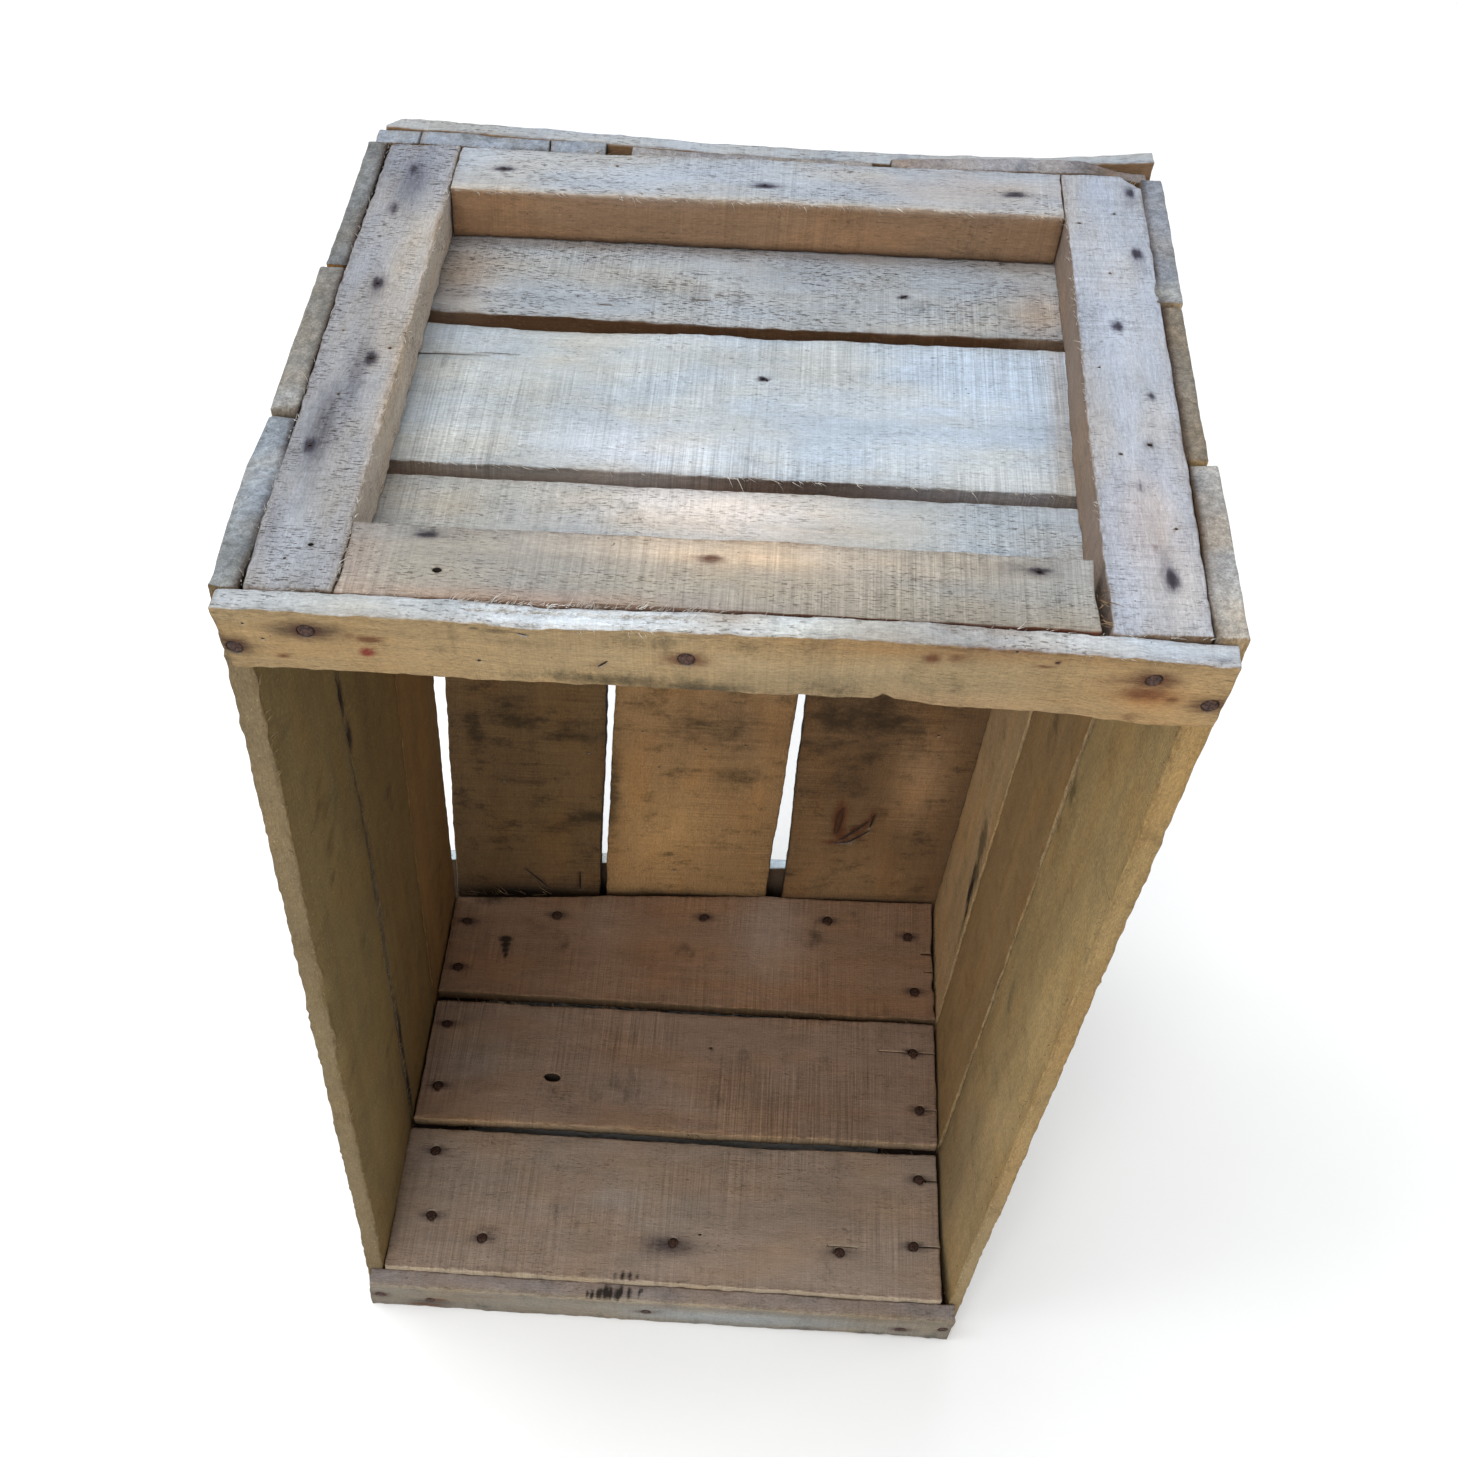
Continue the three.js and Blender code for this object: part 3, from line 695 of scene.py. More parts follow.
        faces=faces(default=GREY, zp=((200, 214, 222), 0.9), yn=((84, 67, 52), 0.1)),
        # The near-black wash low on the face towards the back boards is painted shade where the skid shows
        # through the gaps between them.
        washes=[((0, 293.6, 12), (400, 4, 20), (22, 17, 14), 0.95)]),
    "mouth_rail_upper": dict(
        on="-y", wave=0.4, tear=1.3, flecked=0.6, red_dot=(-119, 577),
        faces=faces(zp=((172, 176, 180), 1), yn=((150, 129, 95), 0.1), yp=((92, 54, 38), 0)),
        low=[(-170, 1.5), (-131, 2), (-111, 2), (-76, 1), (-41, 2), (1, 2), (40, 2.8), (52, 3.2),
            (55, 6.0), (59, 3.8), (73, 1), (109, 0.6), (140, -2), (159, -2.6), (170, -2.4)],
        high=[(-170, 0), (-90, 0), (-60, -1.6), (-30, -0.6), (20, 0.6), (45, 1.4), (70, 0.8), (120, -0.6),
            (150, -2), (170, -2.6)],
        start=[(564, 4.0), (580, 1.4), (595, -0.2)],
        end=[(564, 0), (595, 1.6)],
        iron=[(-139, 586, 14, 5, 0.75), (-164, 577, 8, 4.5, 0.7), (-11, 582, 9, 4, 0.45),
            (144, 584, 9, 5, 0.6), (165, 573, 9, 5, 0.6)],
        rust=[(-148, 573, 2.6, 1.2, 0.9), (-118, 583.5, 6, 1.8, 0.9), (-124, 584.5, 3, 1.5, 0.6),
            (-139, 586, 8, 5, 0.5), (-164, 577, 6, 5, 0.5), (-11, 582, 9, 4, 0.75),
            (144, 584, 10, 5, 0.7), (132, 583, 12, 4, 0.45), (143, 577, 11, 4, 0.75),
            (152, 575, 3, 2, 0.8), (140, 565, 4, 2, 0.6), (165, 573, 7, 5, 0.5), (78, 590, 4, 3, 0.6),
            (107, 588, 4, 0.8, 0.8), (111, 590, 1.2, 1, 1.0), (-41, 577, 4, 2.4, 0.4),
            (90, 594.5, 30, 1.5, 0.5), (70, 589, 3, 2.5, 1.0)],
        mould=[(-40, 570, 34, 4, 0.9), (-10, 568, 30, 3, 0.8), (-70, 586, 30, 3, 0.35),
            (30, 572, 26, 4, 0.5), (0, 590, 40, 4, 0.4)],
        dirt_and_shade=[(-75, 591, 7, 1.0, 0.7), (-82, 592, 3, 0.8, 0.6)],
        holes=[(-81, 575.7, 0.7, 2), (111, 590, 0.7, 2), (97, 594, 0.5, 2), (-160, 588, 0.5, 1),
            (-154, 581, 0.5, 1)],
        splits=[(-39, 577.4, 2.4, 0.5, 1.2, 0.8), (-66, 590, 2.0, 0.4, 1.0, -0.3)],
        washes=[((-100, 0, 580), (60, 6, 18), (144, 120, 85), 0.5),
            ((150, 0, 575), (34, 6, 20), (168, 136, 92), 0.7),
            ((20, 0, 582), (60, 6, 12), (150, 134, 106), 0.5),
            ((86, 0, 568), (36, 6, 4), (158, 132, 100), 0.7),
            ((80, 0, 592), (60, 6, 4), (142, 108, 70), 0.6),
            ((145, 0, 576), (9, 6, 5), (150, 96, 52), 0.6)],
        # The first, near-white patch left of the middle is painted light, a patch of sun on the top.
        top_wash=[((-50, 6, 595), (38, 9, 4), (226, 232, 236), 0.95),
            ((22, 4, 595), (20, 7, 4), (206, 216, 222), 0.8),
            ((76, 8, 595), (7, 3, 4), (120, 106, 92), 0.8),
            ((140, 5, 595), (40, 9, 5), (190, 201, 214), 0.8),
            ((92, 8, 595), (8, 2.4, 4), (150, 136, 126), 0.7),
            ((2, 8, 595), (12, 4, 4), (150, 132, 112), 0.6),
            ((-130, 5, 595), (50, 9, 4), (170, 171, 167), 0.7),
            ((60, 5, 595), (30, 9, 4), (158, 160, 160), 0.6),
            ((165, 3, 594), (3, 1.2, 3), (60, 66, 84), 0.8)]),
    "mouth_rail_lower": dict(
        on="-y", wave=0.4, tear=1.3,
        faces=faces(zp=((139, 129, 125), 0.5), yn=((125, 117, 105), 0.4)),
        rust=[(-164, 15, 6, 4, 0.6), (-138, 4, 12, 2.4, 0.9), (-130, 12, 6, 2.5, 0.8),
            (-8, 14, 8, 3, 0.6), (141, 12, 8, 3, 0.6), (-105, 20, 20, 3, 0.3)],
        iron=[(-164, 15, 8, 5, 0.5), (-135, 8, 16, 4, 0.5), (-8, 14, 12, 4, 0.4), (141, 12, 10, 4, 0.4)],
        mould=[(120, 4, 50, 4, 0.5), (-100, 6, 40, 4, 0.4)],
        washes=[((40, 0, 13), (70, 6, 9), (150, 154, 154), 0.8),
            ((0, 0, 28), (300, 2.4, 2.2), (170, 156, 132), 0.6)],
        low=[(-170, 0), (60, 0.4), (100, 1.2), (140, 2.4), (160, 1.4), (170, 0.6)],
        high=[(-170, 0.4), (-120, 0), (-30, -0.6), (30, 0.2), (120, -0.4), (170, 0)],
        top_dirt=[(-43, 3, 1.0, 3, 0.7), (-40, 2.5, 1.5, 3, 0.9), (-36, 3.5, 1.8, 4, 1.0),
            (-32.6, 4.5, 1.4, 5, 1.0), (-29.6, 4, 1.9, 4.5, 1.0), (-25.4, 3.5, 1.4, 5, 1.0),
            (-23, 5.5, 1.2, 4, 0.95), (-18.4, 5, 1.6, 4.5, 0.85), (-13, 5, 0.9, 4, 0.7),
            (-11, 7, 0.9, 2.5, 0.7), (-3, 6, 0.9, 3, 0.55), (5, 7, 0.9, 3, 0.45)],
        top_wash=[((60, 6, 28), (60, 9, 4), (150, 136, 128), 0.6)]),
}

# ---------------------------------------------------------------- boards


def grid_lines(size, step):
    """Cuts along one side of a board: close together at the worn edges."""
    near = [n for n in (0.0, 0.35, 0.9, 1.7, 2.8) if n < size * 0.42]
    middle = size - 2 * near[-1]
    count = max(1, round(middle / step))
    inner = [near[-1] + middle * i / count for i in range(1, count)]
    return np.array(near + inner + [size - n for n in reversed(near)])


def box_surface(lines):
    """Points and quads of the surface of a block that is cut along the given lines."""
    n = [len(line) for line in lines]
    number = -np.ones(n, dtype=int)
    i, j, k = np.meshgrid(*[np.arange(m) for m in n], indexing="ij")
    outer = (i == 0) | (i == n[0] - 1) | (j == 0) | (j == n[1] - 1) | (k == 0) | (k == n[2] - 1)
    number[outer] = np.arange(outer.sum())
    points = np.stack([lines[0][i[outer]], lines[1][j[outer]], lines[2][k[outer]]], axis=1)
    quads = []
    for axis in range(3):
        for end in (0, n[axis] - 1):
            sheet = np.take(number, end, axis=axis)
            a, b, c, d = sheet[:-1, :-1], sheet[1:, :-1], sheet[1:, 1:], sheet[:-1, 1:]
            around = np.stack([a, b, c, d], axis=-1).reshape(-1, 4)
            quads.append(around[:, ::-1] if (end == 0) != (axis == 1) else around)
    return points, np.concatenate(quads)


def board_axes(size):
    """Which crate axis runs along the grain, across the width and through the thickness."""
    order = np.argsort(size)
    return int(order[2]), int(order[1]), int(order[0])


def rounded(points, size, radius):
    """Pulls the edges of a block in to a radius, which may differ from point to point."""
    radius = np.minimum(radius, size.min() / 2.05)[:, None]
    core = np.clip(points, radius, size - radius)
    out = points - core
    length = np.linalg.norm(out, axis=1, keepdims=True)
    normal = out / np.maximum(length, 1e-9)
    return core + normal * radius, normal


def line(pairs, place):
    """A shift that runs straight between the given (place, shift) pairs."""
    if not pairs:
        return 0.0
    where, shift = zip(*pairs)
    return np.interp(place, where, shift)


def wobble(points, normal, size, seed, wave, tear, cup):
    """Saws the block unevenly: wavy edges, torn sides, rough ends, and cupping."""
    s, u, t = points.T
    across = u / size[1]
    side, end = np.abs(normal[:, 1]), np.abs(normal[:, 0])
    left = wave * (noise1(s / 95, seed) + 0.45 * noise1(s / 31, seed + 1))
    right = wave * (noise1(s / 95, seed + 2) + 0.45 * noise1(s / 31, seed + 3))
    left_tear = 0.30 * noise2(s / 6.5, t / 5, seed + 4) + 0.22 * noise2(s / 2.6, t / 9, seed + 12)
    right_tear = 0.30 * noise2(s / 6.5, t / 5, seed + 5) + 0.22 * noise2(s / 2.6, t / 9, seed + 13)
    left += side * tear * left_tear
    right += side * tear * right_tear
    moved = points.copy()
    moved[:, 1] += left * (1 - across) + right * across
    moved[:, 0] += end * tear * (0.4 * noise2(u / 4.5, t / 4, seed + 6) + 0.5 * noise1(u / 30, seed + 7))
    moved[:, 2] += cup * (1 - (2 * across - 1) ** 2)
    relief = 0.14 * noise2(s / 14, u / 5, seed + 8) + 0.10 * noise2(s / 5, u / 3, seed + 9)
    worn = np.exp(-np.minimum(u, size[1] - u) / 3) * tear * 0.3 * noise2(s / 4, u / 3, seed + 10)
    moved[:, 2] += normal[:, 2] * (relief * 1.3 + worn)
    return moved


def dent(points, centre, radius, push):
    """Moves the points near a centre, most in the middle, as a chip, notch or hollow does."""
    away = (points - centre) / np.array(radius, dtype=float)
    inside = np.clip(1 - (away ** 2).sum(axis=1), 0, 1)
    return points + (inside ** 1.5)[:, None] * np.array(push, dtype=float)


def basis(facing):
    """Two directions over a face and the one out of it."""
    axis, sign = FACES[facing]
    a, b = [np.eye(3)[i] for i in range(3) if i != axis]
    return a, b, np.eye(3)[axis] * sign


def lathe(at, facing, rows, sides=14, squash=1.0, turn=0.0):
    """A closed drum from (radius, height) rows, its axis out of a face. Squash narrows it."""
    a, b, out = basis(facing)
    forward = np.dot(np.cross(a, b), out) > 0
    points, polygons = [], []
    for radius, height in rows:
        for i in range(sides):
            angle = 2 * math.pi * i / sides
            p, q = radius * math.cos(angle), radius * squash * math.sin(angle)
            p, q = p * math.cos(turn) - q * math.sin(turn), p * math.sin(turn) + q * math.cos(turn)
            points.append(at + a * p + b * q + out * height)
    for row in range(len(rows) - 1):
        for i in range(sides):
            j = (i + 1) % sides
            low, high = row * sides, (row + 1) * sides
            polygons.append((low + i, low + j, high + j, high + i))
    polygons.append(tuple(reversed(range(sides))))
    polygons.append(tuple((len(rows) - 1) * sides + i for i in range(sides)))
    if not forward:
        polygons = [tuple(reversed(f)) for f in polygons]
    return np.array(points), polygons


def joined(parts):
    """Several (points, polygons) as one."""
    points, polygons = [], []
    for more_points, more_polygons in parts:
        start = sum(len(p) for p in points)
        points.append(more_points)
        polygons += [tuple(start + i for i in f) for f in more_polygons]
    return np.concatenate(points), polygons


def bore(piece, cutters):
    """Cuts nail pockets, worm holes and splits out of a board."""
    if not cutters:
        return
    points, polygons = joined(cutters)
    tool = new_mesh("cutter", to_row(points), polygons, NAIL)
    cut = piece.modifiers.new("bore", "BOOLEAN")
    cut.operation, cut.solver, cut.object = "DIFFERENCE", "MANIFOLD", tool
    bpy.context.view_layer.update()
    result = bpy.data.meshes.new_from_object(piece.evaluated_get(bpy.context.evaluated_depsgraph_get()))
    piece.modifiers.clear()
    old, piece.data = piece.data, result
    unused = tool.data
    bpy.data.objects.remove(tool)
    bpy.data.meshes.remove(unused)
    bpy.data.meshes.remove(old)


def nail_places(node):
    """Where the CAD nails' heads sit in a board: (a, b) on its face."""
    prefix = {"mouth_rail_upper": "nail_rail_upper", "mouth_rail_lower": "nail_rail_lower"}.get(node)
    if node.startswith("lower_end_slat"):
        prefix = "nail_end_" + node.rsplit("_", 1)[1]
    if not prefix:
        return []
    places = []
    for nail in sorted(n for n in NODE_SLOTS if n.startswith(prefix)):
        lo, hi = (np.array(c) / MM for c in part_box(nail))
        middle = (lo + hi) / 2
        face_z = hi[2] if "end" in nail else middle[2]
        x = middle[0] - LEAN * face_z - ORIGIN[0]
        places.append((x, middle[1] - ORIGIN[1]) if "end" in nail else (x, middle[2]))
    return places


# Profiles of cuts, as (radius, height above the face) rows. They end well above the face.
CLEAR = 2.0
NAIL_POCKET = [(2.5, -1.0), (3.2, -0.5), (3.5, CLEAR)]
TOP_SPLIT = [(0.3, -14), (0.45, CLEAR)]
LIP = -0.45  # a ring just under the face, so that only the rim of a cut stays pale


def board_cutters(node, look, low, high):
    """The solids that are cut out of a board: nail pockets, holes and splits."""
    cutters = []
    facing = look.get("on", "+z")
    rng = np.random.default_rng(name_seed(node) + 5)
    for a, b in nail_places(node):
        stretched = rng.uniform(0.85, 1.0)
        at = on_face(facing, a, b, low, high)
        cutters.append(lathe(at, facing, NAIL_POCKET, squash=stretched, turn=rng.uniform(0, 3)))
    for a, b, radius, depth in look.get("holes", ()):
        rows = [(radius * 0.7, -depth), (radius, LIP), (radius * 1.1, CLEAR)]
        cutters.append(lathe(on_face(facing, a, b, low, high), facing, rows, sides=10, squash=0.8))
    for a, b, half_a, half_b, depth, turn in look.get("splits", ()):
        rows = [(half_a * 0.9, -depth), (half_a * 0.98, LIP), (half_a, CLEAR)]
        at = on_face(facing, a, b, low, high)
        cutters.append(lathe(at, facing, rows, sides=12, squash=half_b / half_a, turn=turn))
    for a in look.get("top_splits", ()):
        at = np.array([a, (low[1] + high[1]) / 2 + rng.uniform(-1, 1), high[2]])
        turn = rng.uniform(-0.1, 0.1)
        cutters.append(lathe(at, "+z", TOP_SPLIT, sides=10, squash=16.0, turn=turn))
    return cutters


STAIN_DEPTH = 6.0  # how far a stain reaches round an edge
NAIL_HALO = (9, 3.6, 0.68)  # reach along the grain, reach across it, and strength
RED_DOT_RADII = np.array([2.6, 4, 1.9])


def stain(points, normals, marks, facing, low, high, grain_axis):
    """How much of the marks lies at each point."""
    total = np.zeros(len(points))
    axis, sign = FACES[facing]
    for a, b, length, width, strength in marks:
        radii = np.full(3, float(width))
        radii[grain_axis] = length
        radii[axis] = STAIN_DEPTH
        away = (points - on_face(facing, a, b, low, high)) / radii
        amount = strength * np.exp(-(away ** 2).sum(axis=1))
        total = np.maximum(total, amount * (normals[:, axis] * sign > 0.2))
    return total


def mesh_arrays(mesh):
    """Vertex positions in crate millimetres, and vertex normals."""
    flat = np.empty(len(mesh.vertices) * 3)
    mesh.vertices.foreach_get("co", flat)
    points = from_row(flat.reshape(-1, 3))
    mesh.vertices.foreach_get("normal", flat)
    return points, flat.reshape(-1, 3).copy()


def sunk(points, before, normals_before, plain):
    """Where bored points lie in the plain block, and how deep they are below its old skin."""
    tree = KDTree(len(before))
    for number, point in enumerate(before):
        tree.insert(point, number)
    tree.balance()
    nearest = np.array([tree.find(point)[1] for point in points])
    away = points - before[nearest]
    return plain[nearest], away, -(away * normals_before[nearest]).sum(axis=1)


def paint(piece, node, low, high, axes, look, local, depth):
    """Writes the attributes that the wood material reads."""
    mesh = piece.data
    points, normals = mesh_arrays(mesh)
    count = len(points)
    size = (high - low)[list(axes)]
    facing = look.get("on", "+z")

    colours, silver, total = np.zeros((count, 3)), np.zeros(count), np.zeros(count)
    for name, (axis, sign) in FACES.items():
        weight = np.clip(normals[:, axis] * sign, 0, 1) ** 3
        srgb, grey = look["faces"].get(name, look["faces"]["else"])
        colours += weight[:, None] * linear(srgb)
        silver += weight * grey
        total += weight
    colours /= total[:, None]
    silver /= total
    parts = {"washes": np.ones(count), "top_wash": normals[:, 2] > 0.6, "mouth_wash": normals[:, 1] < -0.5}
    for washes, part in parts.items():
        for centre, radii, srgb, strength in look.get(washes, ()):
            away = (points - np.array(centre)) / np.array(radii, dtype=float)
            amount = (strength * part * np.exp(-(away ** 2).sum(axis=1)))[:, None]
            colours = colours * (1 - amount) + linear(srgb) * amount
    if "red_dot" in look:
        centre = on_face(facing, *look["red_dot"], low, high)
        away = (points - centre) / RED_DOT_RADII
        amount = np.clip(1.6 * np.exp(-(away ** 2).sum(axis=1) ** 2), 0, 0.95)[:, None]
        colours = colours * (1 - amount) + linear((112, 44, 32)) * amount

    walls = np.sort(np.minimum(local, size - local), axis=1)
    bored = np.clip((depth - 0.05) / 0.35, 0, 1)
    marks = {kind: stain(points, normals, look.get(kind, ()), facing, low, high, axes[0])
             for kind in ("iron", "rust", "mould", "dirt_and_shade")}
    nails = [place + NAIL_HALO for place in nail_places(node)] if node.startswith("lower_end") else []
    marks["iron"] = np.maximum(marks["iron"], stain(points, normals, nails, facing, low, high, axes[0]))
    top = stain(points, normals, look.get("top_dirt", ()), "+z", low, high, axes[0])
    # Inside the bored cuts the colour darkens with depth: painted shade and dirt.
    marks["dirt_and_shade"] = np.maximum.reduce([marks["dirt_and_shade"], bored, top])
    marks["silver"] = silver
    marks["flecked"] = look.get("flecked", 0.6) * (0.35 + 0.65 * silver)
    marks["sawn"] = np.full(count, look.get("sawn", 1.0))
    marks["end_grain"] = np.abs(normals[:, axes[0]]) ** 2
    marks["edge"] = np.exp(-np.maximum(walls[:, 1], 0) / 2.2)

    shift = np.random.default_rng(name_seed(node)).uniform(50, 900, 3)
    layer = mesh.attributes.new("grain", "FLOAT_VECTOR", "POINT")
    layer.data.foreach_set("vector", (local + shift).ravel())
    layer = mesh.attributes.new("face_colour", "FLOAT_COLOR", "POINT")
    layer.data.foreach_set("color", np.column_stack([colours, np.ones(count)]).ravel())
    for name, value in marks.items():
        layer = mesh.attributes.new(name, "FLOAT", "POINT")
        layer.data.foreach_set("value", value.astype(float))


def make_board(node, look, step):
    """One sawn and weathered board in place of its plain CAD node."""
    low, high = crate_box(node)
    axes = board_axes(high - low)
    size = (high - low)[list(axes)]
    seed = name_seed(node) + 11
    points, quads = box_surface([grid_lines(side, step) for side in size])
    radius = 1.0 + 0.5 * noise1(points[:, 0] / 17 + points[:, 1] / 30, seed + 20)
    radius += 0.3 * noise1(points[:, 0] / 4.5, seed + 21)
    points, normal = rounded(points, size, np.maximum(radius, 0.3))
    points = wobble(points, normal, size, seed,
                    look.get("wave", 0.5), look.get("tear", 1.0), look.get("cup", 0.0))
    moved = np.empty_like(points)
    for column, axis in enumerate(axes):
        moved[:, axis] = points[:, column] + low[axis]
    across = points[:, 1] / size[1]
    along = points[:, 0] / size[0]
    place = moved[:, axes[0]].copy()
    moved[:, axes[0]] += line(look.get("start"), moved[:, axes[1]]) * (1 - along)
    moved[:, axes[0]] += line(look.get("end"), moved[:, axes[1]]) * along
    low_edge, high_edge = line(look.get("low"), place), line(look.get("high"), place)
    moved[:, axes[1]] += low_edge * (1 - across) + high_edge * across
    for centre, radii, push in look.get("dents", ()):
        moved = dent(moved, centre, radii, push)
    moved += np.array(look.get("shift", (0, 0, 0)), dtype=float)
    if np.linalg.det(np.eye(3)[list(axes)]) < 0:
        quads = quads[:, ::-1]
    slot = NODE_SLOTS[node]
    crosswise = node.endswith(("batten_left", "batten_right"))
    wood = WOOD[slot + "_crosswise" if crosswise else slot]
    piece = new_mesh(node + "_board", to_row(moved), quads.tolist(), wood)
    local, depth = points, np.zeros(len(points))
    cutters = board_cutters(node, look, low, high)
    if cutters:
        before, normals_before = mesh_arrays(piece.data)
        bore(piece, cutters)
        local, away, depth = sunk(mesh_arrays(piece.data)[0], before, normals_before, points)
        local = local + away[:, list(axes)]
    paint(piece, node, low, high, axes, look, local, depth)
    piece.data.shade_smooth()
    hand_over(piece, slot, node)
    return piece


# Mesh spacing in millimetres, finest where the camera is near.
MESH_STEPS = {"batten": 2.2, "end_slat": 2.2, "mouth_rail": 1.5, "skid": 2.4, "side_slat": 3.6,
              "bottom_board": 3.6}


def make_boards():
    """All boards of the crate."""
    for node, look in LOOKS.items():
        make_board(node, look, MESH_STEPS[NODE_SLOTS[node]])


# ---------------------------------------------------------------- nails


def nail_head(at, facing, seed, shank=0.0):
    """A hammered, rusty nail head and, where it has room, its shank."""
    r = NAIL_HEAD
    rows = [(r * 0.93, -0.7), (r * 1.03, -0.45), (r, 0.0), (r * 0.78, 0.26), (r * 0.4, 0.32), (0.06, 0.28)]
    if shank:
        rows = [(0.25, -shank), (1.1, 4 - shank), (1.15, -0.75)] + rows
    points, polygons = lathe(np.array(at, dtype=float), facing, rows, sides=18)
    knock = np.stack([noise2(points[:, 0] * 0.8 + k, points[:, 1] * 0.8 + points[:, 2] * 0.6, seed + k)
                      for k in range(3)], axis=1)
    return points + knock * 0.22, polygons


NAIL_PROUD = 0.4  # how far the CAD heads stand out of the wood
NAIL_SINK = 0.25  # how much deeper the drawn heads sit
NAIL_SHANK = 28


def make_nails():
    """A rusty nail in place of each CAD nail."""
    for node in sorted(n for n in NODE_SLOTS if n.startswith("nail_")):
        lo, hi = (np.array(c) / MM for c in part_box(node))
        at = (lo + hi) / 2
        upward = "end" in node
        if upward:
            at[2] = hi[2] - NAIL_PROUD
        else:
            at[1] = lo[1] + NAIL_PROUD
        facing = "+z" if upward else "-y"
        at = at - basis(facing)[2] * NAIL_SINK
        points, polygons = nail_head(at, facing, name_seed(node), shank=NAIL_SHANK)
        piece = new_mesh(node + "_rusty", points * MM, polygons, NAIL)
        hand_over(piece, "nail", node)


# Where nails hold the boards that have no nails in the CAD.
SIDE_NAIL_HEIGHTS = (13, 582)
UPPER_END_NAILS = [
    (-110, 266), (2, 262), (108, 264), (-104, 40), (-6, 35), (106, 37), (-148, 262), (-152, 233),
    (-148.5, 181), (-142, 134), (-154.5, 83), (157, 269), (156, 225), (144, 176), (153, 134),
    (145, 83), (151, 37)]


def make_more_nails():
    """The nails that hold the sides, the bottom and the upper end, which have no CAD node."""
    rng = np.random.default_rng(77)
    for side, facing in (("left", "-x"), ("right", "+x")):
        heads = []
        for place in ("front", "middle", "rear"):
            low, high = crate_box(f"side_slat_{side}_{place}")
            for end_z in SIDE_NAIL_HEIGHTS:
                for share in (0.22, 0.78):
                    y = low[1] + share * (high[1] - low[1]) + rng.uniform(-5, 5)
                    z = end_z + rng.uniform(-4, 4)
                    heads.append(nail_head(on_face(facing, y, z, low, high), facing, len(heads) + 40))
        points, polygons = joined(heads)
        piece = new_mesh(f"side_nails_{side}", to_row(points), polygons, NAIL)
        hand_over(piece, "nail")
    heads = []
    for skid in ("skid_lower", "skid_upper"):
        low, high = crate_box(skid)
        for board in ("left", "middle", "right"):
            left, right = crate_box(f"bottom_board_{board}")
            for share in (0.18, 0.82):
                x = left[0] + share * (right[0] - left[0]) + rng.uniform(-6, 6)
                z = (low[2] + high[2]) / 2 + rng.uniform(-9, 9)
                heads.append(nail_head(on_face("+y", x, z, low, high), "+y", len(heads) + 80))
    points, polygons = joined(heads)
    hand_over(new_mesh("skid_nails", to_row(points), polygons, NAIL), "nail")
    heads = []
    for x, y in UPPER_END_NAILS:
        place = "front" if y < 99 else "middle" if y < 192 else "rear"
        low, high = crate_box(f"upper_end_slat_{place}")
        heads.append(nail_head(on_face("-z", x, y, low, high), "-z", len(heads) + 120))
    points, polygons = joined(heads)
    hand_over(new_mesh("upper_end_nails", to_row(points), polygons, NAIL), "nail")


# ---------------------------------------------------------------- torn fibres


def sliver(root, direction, length, width, bend, rng):
    """A thin, bent, closed splinter that narrows to its tip."""
    direction = direction / np.linalg.norm(direction)
    side = np.cross(direction, rng.normal(size=3))
    side /= np.linalg.norm(side)
    other = np.cross(direction, side)
    points = []
    for t in (0.0, 0.35, 0.7):
        middle = root + direction * length * t + bend * t * t * length
        for k in range(3):
            angle = 2.1 * k
            around = side * math.cos(angle) + other * 0.6 * math.sin(angle)
            points.append(middle + around * width * (1 - 0.8 * t))
    points.append(root + direction * length + bend * length)
    polygons = [(2, 1, 0)]
    for row in (0, 3):
        for k in range(3):
            n = (k + 1) % 3
            polygons.append((row + k, row + n, row + 3 + n, row + 3 + k))
    polygons += [(6, 7, 9), (7, 8, 9), (8, 6, 9)]
    return np.array(points), polygons


def make_slivers(name, slot, material, rows, seed):
    """Splinters along edges: (from, to, direction, spread, count, length, width) a row."""
    rng = np.random.default_rng(seed)
    parts = []
    for start, stop, direction, spread, count, length, width in rows:
        start, stop = np.array(start, dtype=float), np.array(stop, dtype=float)
        for _ in range(count):
            root = start + (stop - start) * rng.uniform() + rng.normal(size=3) * 0.35
            way = np.array(direction, dtype=float) + rng.normal(size=3) * spread
            long = length * rng.uniform(0.4, 1.3)
            bend = rng.normal(size=3) * 0.25
            parts.append(sliver(root, way, long, width * rng.uniform(0.6, 1.3), bend, rng))
    points, polygons = joined(parts)
    piece = new_mesh(name, to_row(points), polygons, material)
    hand_over(piece, slot)


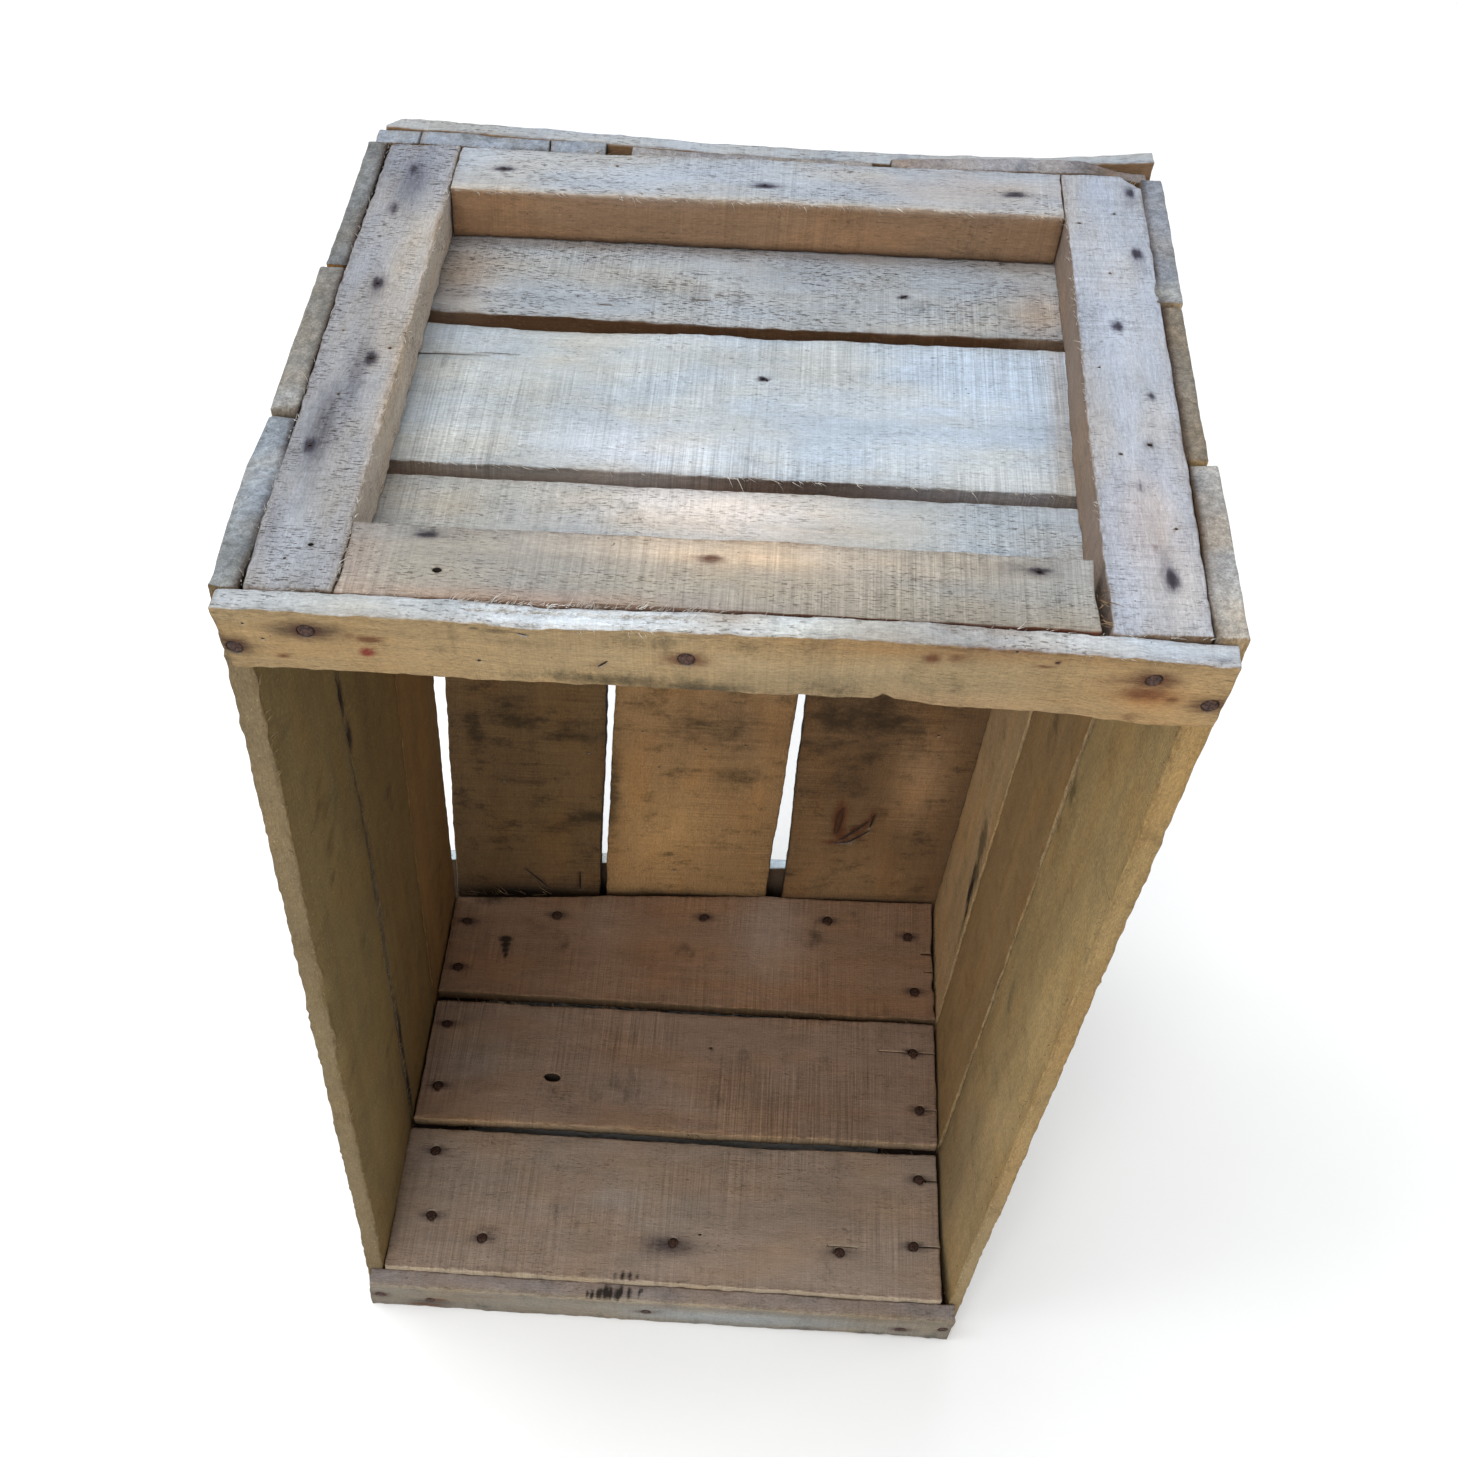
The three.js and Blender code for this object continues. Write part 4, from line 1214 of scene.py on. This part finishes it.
def make_all_slivers():
    """Torn fibres along the edges that the saw left rough."""
    make_slivers("fuzz_mouth_rail_upper", "mouth_rail", PALE_FIBRE, [
        ((-92, 9, 594.6), (-8, 10, 594.6), (0.8, 0.5, 0.25), 0.35, 150, 3.4, 0.16),
        ((-84, 1.5, 593.4), (-14, 1.5, 594.0), (0.9, -0.5, -0.1), 0.35, 110, 3.0, 0.16),
        ((-86, 5, 594.8), (-10, 6, 594.8), (1.0, 0.2, 0.12), 0.3, 200, 4.0, 0.17),
        ((-165, 9.6, 594.6), (165, 9.6, 594.6), (1.0, 0.3, 0.1), 0.4, 90, 3.0, 0.14),
        ((110, 1.0, 593.6), (160, 1.0, 592.6), (1.0, -0.4, -0.1), 0.3, 30, 2.6, 0.14)], 301)
    make_slivers("fuzz_lower_middle_slat", "end_slat", BROWN_FIBRE, [
        ((-152, 188.2, 33.2), (-20, 189.8, 33.2), (-0.9, 0.75, 0.15), 0.3, 36, 6.5, 0.30),
        ((-20, 190.0, 33.2), (150, 192.0, 33.2), (-0.9, 0.7, 0.2), 0.4, 16, 4.0, 0.25),
        ((-150, 105.8, 33.0), (150, 107.2, 33.0), (1.0, -0.4, 0.1), 0.3, 40, 3.5, 0.18),
        ((6, 105.5, 32), (16, 105.5, 32), (0.6, -1.0, 0.5), 0.5, 5, 4.5, 0.3)], 302)
    make_slivers("fuzz_lower_rear_slat", "end_slat", BROWN_FIBRE, [
        ((161.5, 212, 33.0), (161.0, 268, 33.0), (1.0, 0.2, 0.35), 0.35, 26, 4.0, 0.25),
        ((-158, 212, 33.2), (-160, 274, 33.2), (-1.0, 0.2, 0.3), 0.35, 24, 3.0, 0.2),
        ((-156, 277, 31), (-96, 279, 32), (-0.9, 0.3, 0.5), 0.3, 24, 8.0, 0.3),
        ((-150, 196.0, 33.1), (150, 197.5, 33.1), (1.0, -0.4, 0.2), 0.3, 40, 3.0, 0.18)], 303)
    make_slivers("fuzz_lower_front_slat", "end_slat", BROWN_FIBRE, [
        ((-155, 10.8, 33.2), (150, 10.8, 33.2), (1.0, -0.2, 0.3), 0.3, 70, 3.5, 0.18),
        ((-155, 95.5, 33.2), (155, 100.5, 33.2), (-1.0, 0.3, 0.2), 0.3, 40, 3.0, 0.18)], 304)
    make_slivers("fuzz_upper_slats", "end_slat", PALE_FIBRE, [
        ((-128, 104.8, 570.6), (126, 103.2, 570.6), (1.0, -0.5, 0.1), 0.35, 60, 3.2, 0.16),
        ((-10, 104.2, 570.5), (30, 104.2, 570.5), (1.0, -0.8, 0.15), 0.3, 14, 6.0, 0.22)], 305)
    make_slivers("fuzz_upper_battens", "batten", PALE_FIBRE, [
        ((-130, 249.6, 594.4), (126, 249.6, 594.4), (1.0, -0.4, -0.3), 0.3, 90, 3.4, 0.16),
        ((-131.2, 12, 594.4), (-131.2, 44, 594.4), (0.4, 0.8, 0.2), 0.4, 24, 3.0, 0.2),
        ((-131.0, 46, 594.6), (-131.0, 248, 594.6), (0.25, 1.0, -0.1), 0.3, 70, 3.0, 0.15),
        ((-162.5, 12, 594.6), (-162.5, 280, 594.6), (-0.2, 1.0, 0.1), 0.3, 70, 3.0, 0.15),
        ((128.7, 46, 594.6), (128.7, 248, 594.6), (-0.25, 1.0, -0.1), 0.3, 60, 3.0, 0.15)], 306)
    make_slivers("fuzz_batten_corner", "batten", BROWN_FIBRE, [
        ((125.8, 14, 593.5), (125.8, 30, 594.5), (0.9, -0.5, 0.35), 0.45, 16, 7.5, 0.32),
        ((161, 278, 590), (156, 282, 591), (0.6, 0.4, 0.9), 0.5, 14, 5.0, 0.4),
        ((-160, 281.8, 594.4), (150, 281.8, 594.4), (1.0, 0.4, 0.2), 0.35, 110, 3.0, 0.2)], 307)
    make_slivers("fuzz_side_slats", "side_slat", BROWN_FIBRE, [
        ((-163.2, 10.8, 560), (-164.5, 10.8, 230), (0.3, -0.3, 1.0), 0.25, 120, 4.0, 0.2),
        ((-163.2, 10.8, 230), (-163.4, 10.8, 40), (0.3, -0.3, 1.0), 0.25, 50, 4.0, 0.2),
        ((163.2, 10.8, 560), (163.2, 10.8, 40), (-0.3, -0.3, 1.0), 0.25, 90, 4.0, 0.18),
        ((-163.0, 99, 560), (-163.0, 104, 40), (0.25, 0.2, 1.0), 0.2, 90, 4.0, 0.2),
        ((163.0, 98, 560), (163.0, 108, 40), (-0.25, 0.2, 1.0), 0.2, 90, 4.0, 0.2)], 308)


# ---------------------------------------------------------------- stage and camera


FLOOR_HALF = 6  # metres
WORLD_LIGHT = 0.32
COOL, WARM, CLEAR_SKY = (0.97, 0.985, 1.0), (1.0, 0.985, 0.96), (0.94, 0.975, 1.0)
LIGHTS = (  # name, place, size, power, colour
    ("softbox_above", (-0.9, 0.15, 2.9), 2.2, 50, CLEAR_SKY),
    ("softbox_front", (-0.5, -2.15, 2.4), 1.6, 35, WARM),
    ("softbox_low", (0.2, -6.4, 1.7), 5.2, 136, WARM),
    ("softbox_left", (-6.4, 0.4, 2.1), 5.2, 164, COOL),
    ("softbox_right", (6.4, 0.4, 2.1), 5.2, 216, COOL),
    ("softbox_back", (0.0, 6.4, 2.1), 5.2, 164, COOL),
)


def make_stage():
    """A plain pale floor and soft studio light from all sides."""
    s = Shader("pale_floor")
    grain = s.noise(s.node("ShaderNodeTexCoord", out="Object"), scale=6, detail=2)
    tone = s.mix(grain, rgba((246, 246, 246)), rgba((252, 252, 252)))
    material = s.finish(tone, 0.9, grain, 0.05, specular=0.1)
    corners = [(x * FLOOR_HALF, y * FLOOR_HALF, 0) for x, y in ((-1, -1), (1, -1), (1, 1), (-1, 1))]
    new_mesh("floor", corners, [(0, 1, 2, 3)], material)

    world = bpy.data.worlds.new("studio")
    world.use_nodes = True
    background = world.node_tree.nodes["Background"]
    background.inputs["Color"].default_value = (*COOL, 1)
    background.inputs["Strength"].default_value = WORLD_LIGHT
    bpy.context.scene.world = world
    for name, location, size, power, colour in LIGHTS:
        data = bpy.data.lights.new(name, "AREA")
        data.shape, data.size, data.energy, data.color = "SQUARE", size, power, colour
        lamp = bpy.data.objects.new(name, data)
        lamp.location = location
        lamp.rotation_euler = (Vector((0, 0, 0.3)) - lamp.location).to_track_quat("-Z", "Y").to_euler()
        bpy.context.scene.collection.objects.link(lamp)


# The camera is close above the mouth and looks down into the crate.
CAMERA_AT = Vector((0.0359, -0.5416, 1.0125))
CAMERA_AIM = Vector((0.0101, 0.0371, 0.3237))
CAMERA_ROLL = math.radians(1.19)
CAMERA_LENS = 43.0
SENSOR_WIDTH = 36


def make_camera():
    """The scene's one camera."""
    data = bpy.data.cameras.new("camera")
    data.lens, data.sensor_width = CAMERA_LENS, SENSOR_WIDTH
    data.clip_start, data.clip_end = 0.05, 50
    camera = bpy.data.objects.new("camera", data)
    look = (CAMERA_AIM - CAMERA_AT).to_track_quat("-Z", "Y")
    camera.rotation_mode = "QUATERNION"
    camera.rotation_quaternion = look @ Quaternion((0, 0, 1), CAMERA_ROLL)
    camera.location = CAMERA_AT
    bpy.context.scene.collection.objects.link(camera)
    bpy.context.scene.camera = camera


make_camera()
make_stage()
make_boards()
make_nails()
make_more_nails()
make_all_slivers()

bpy.context.scene.view_settings.view_transform = "Standard"
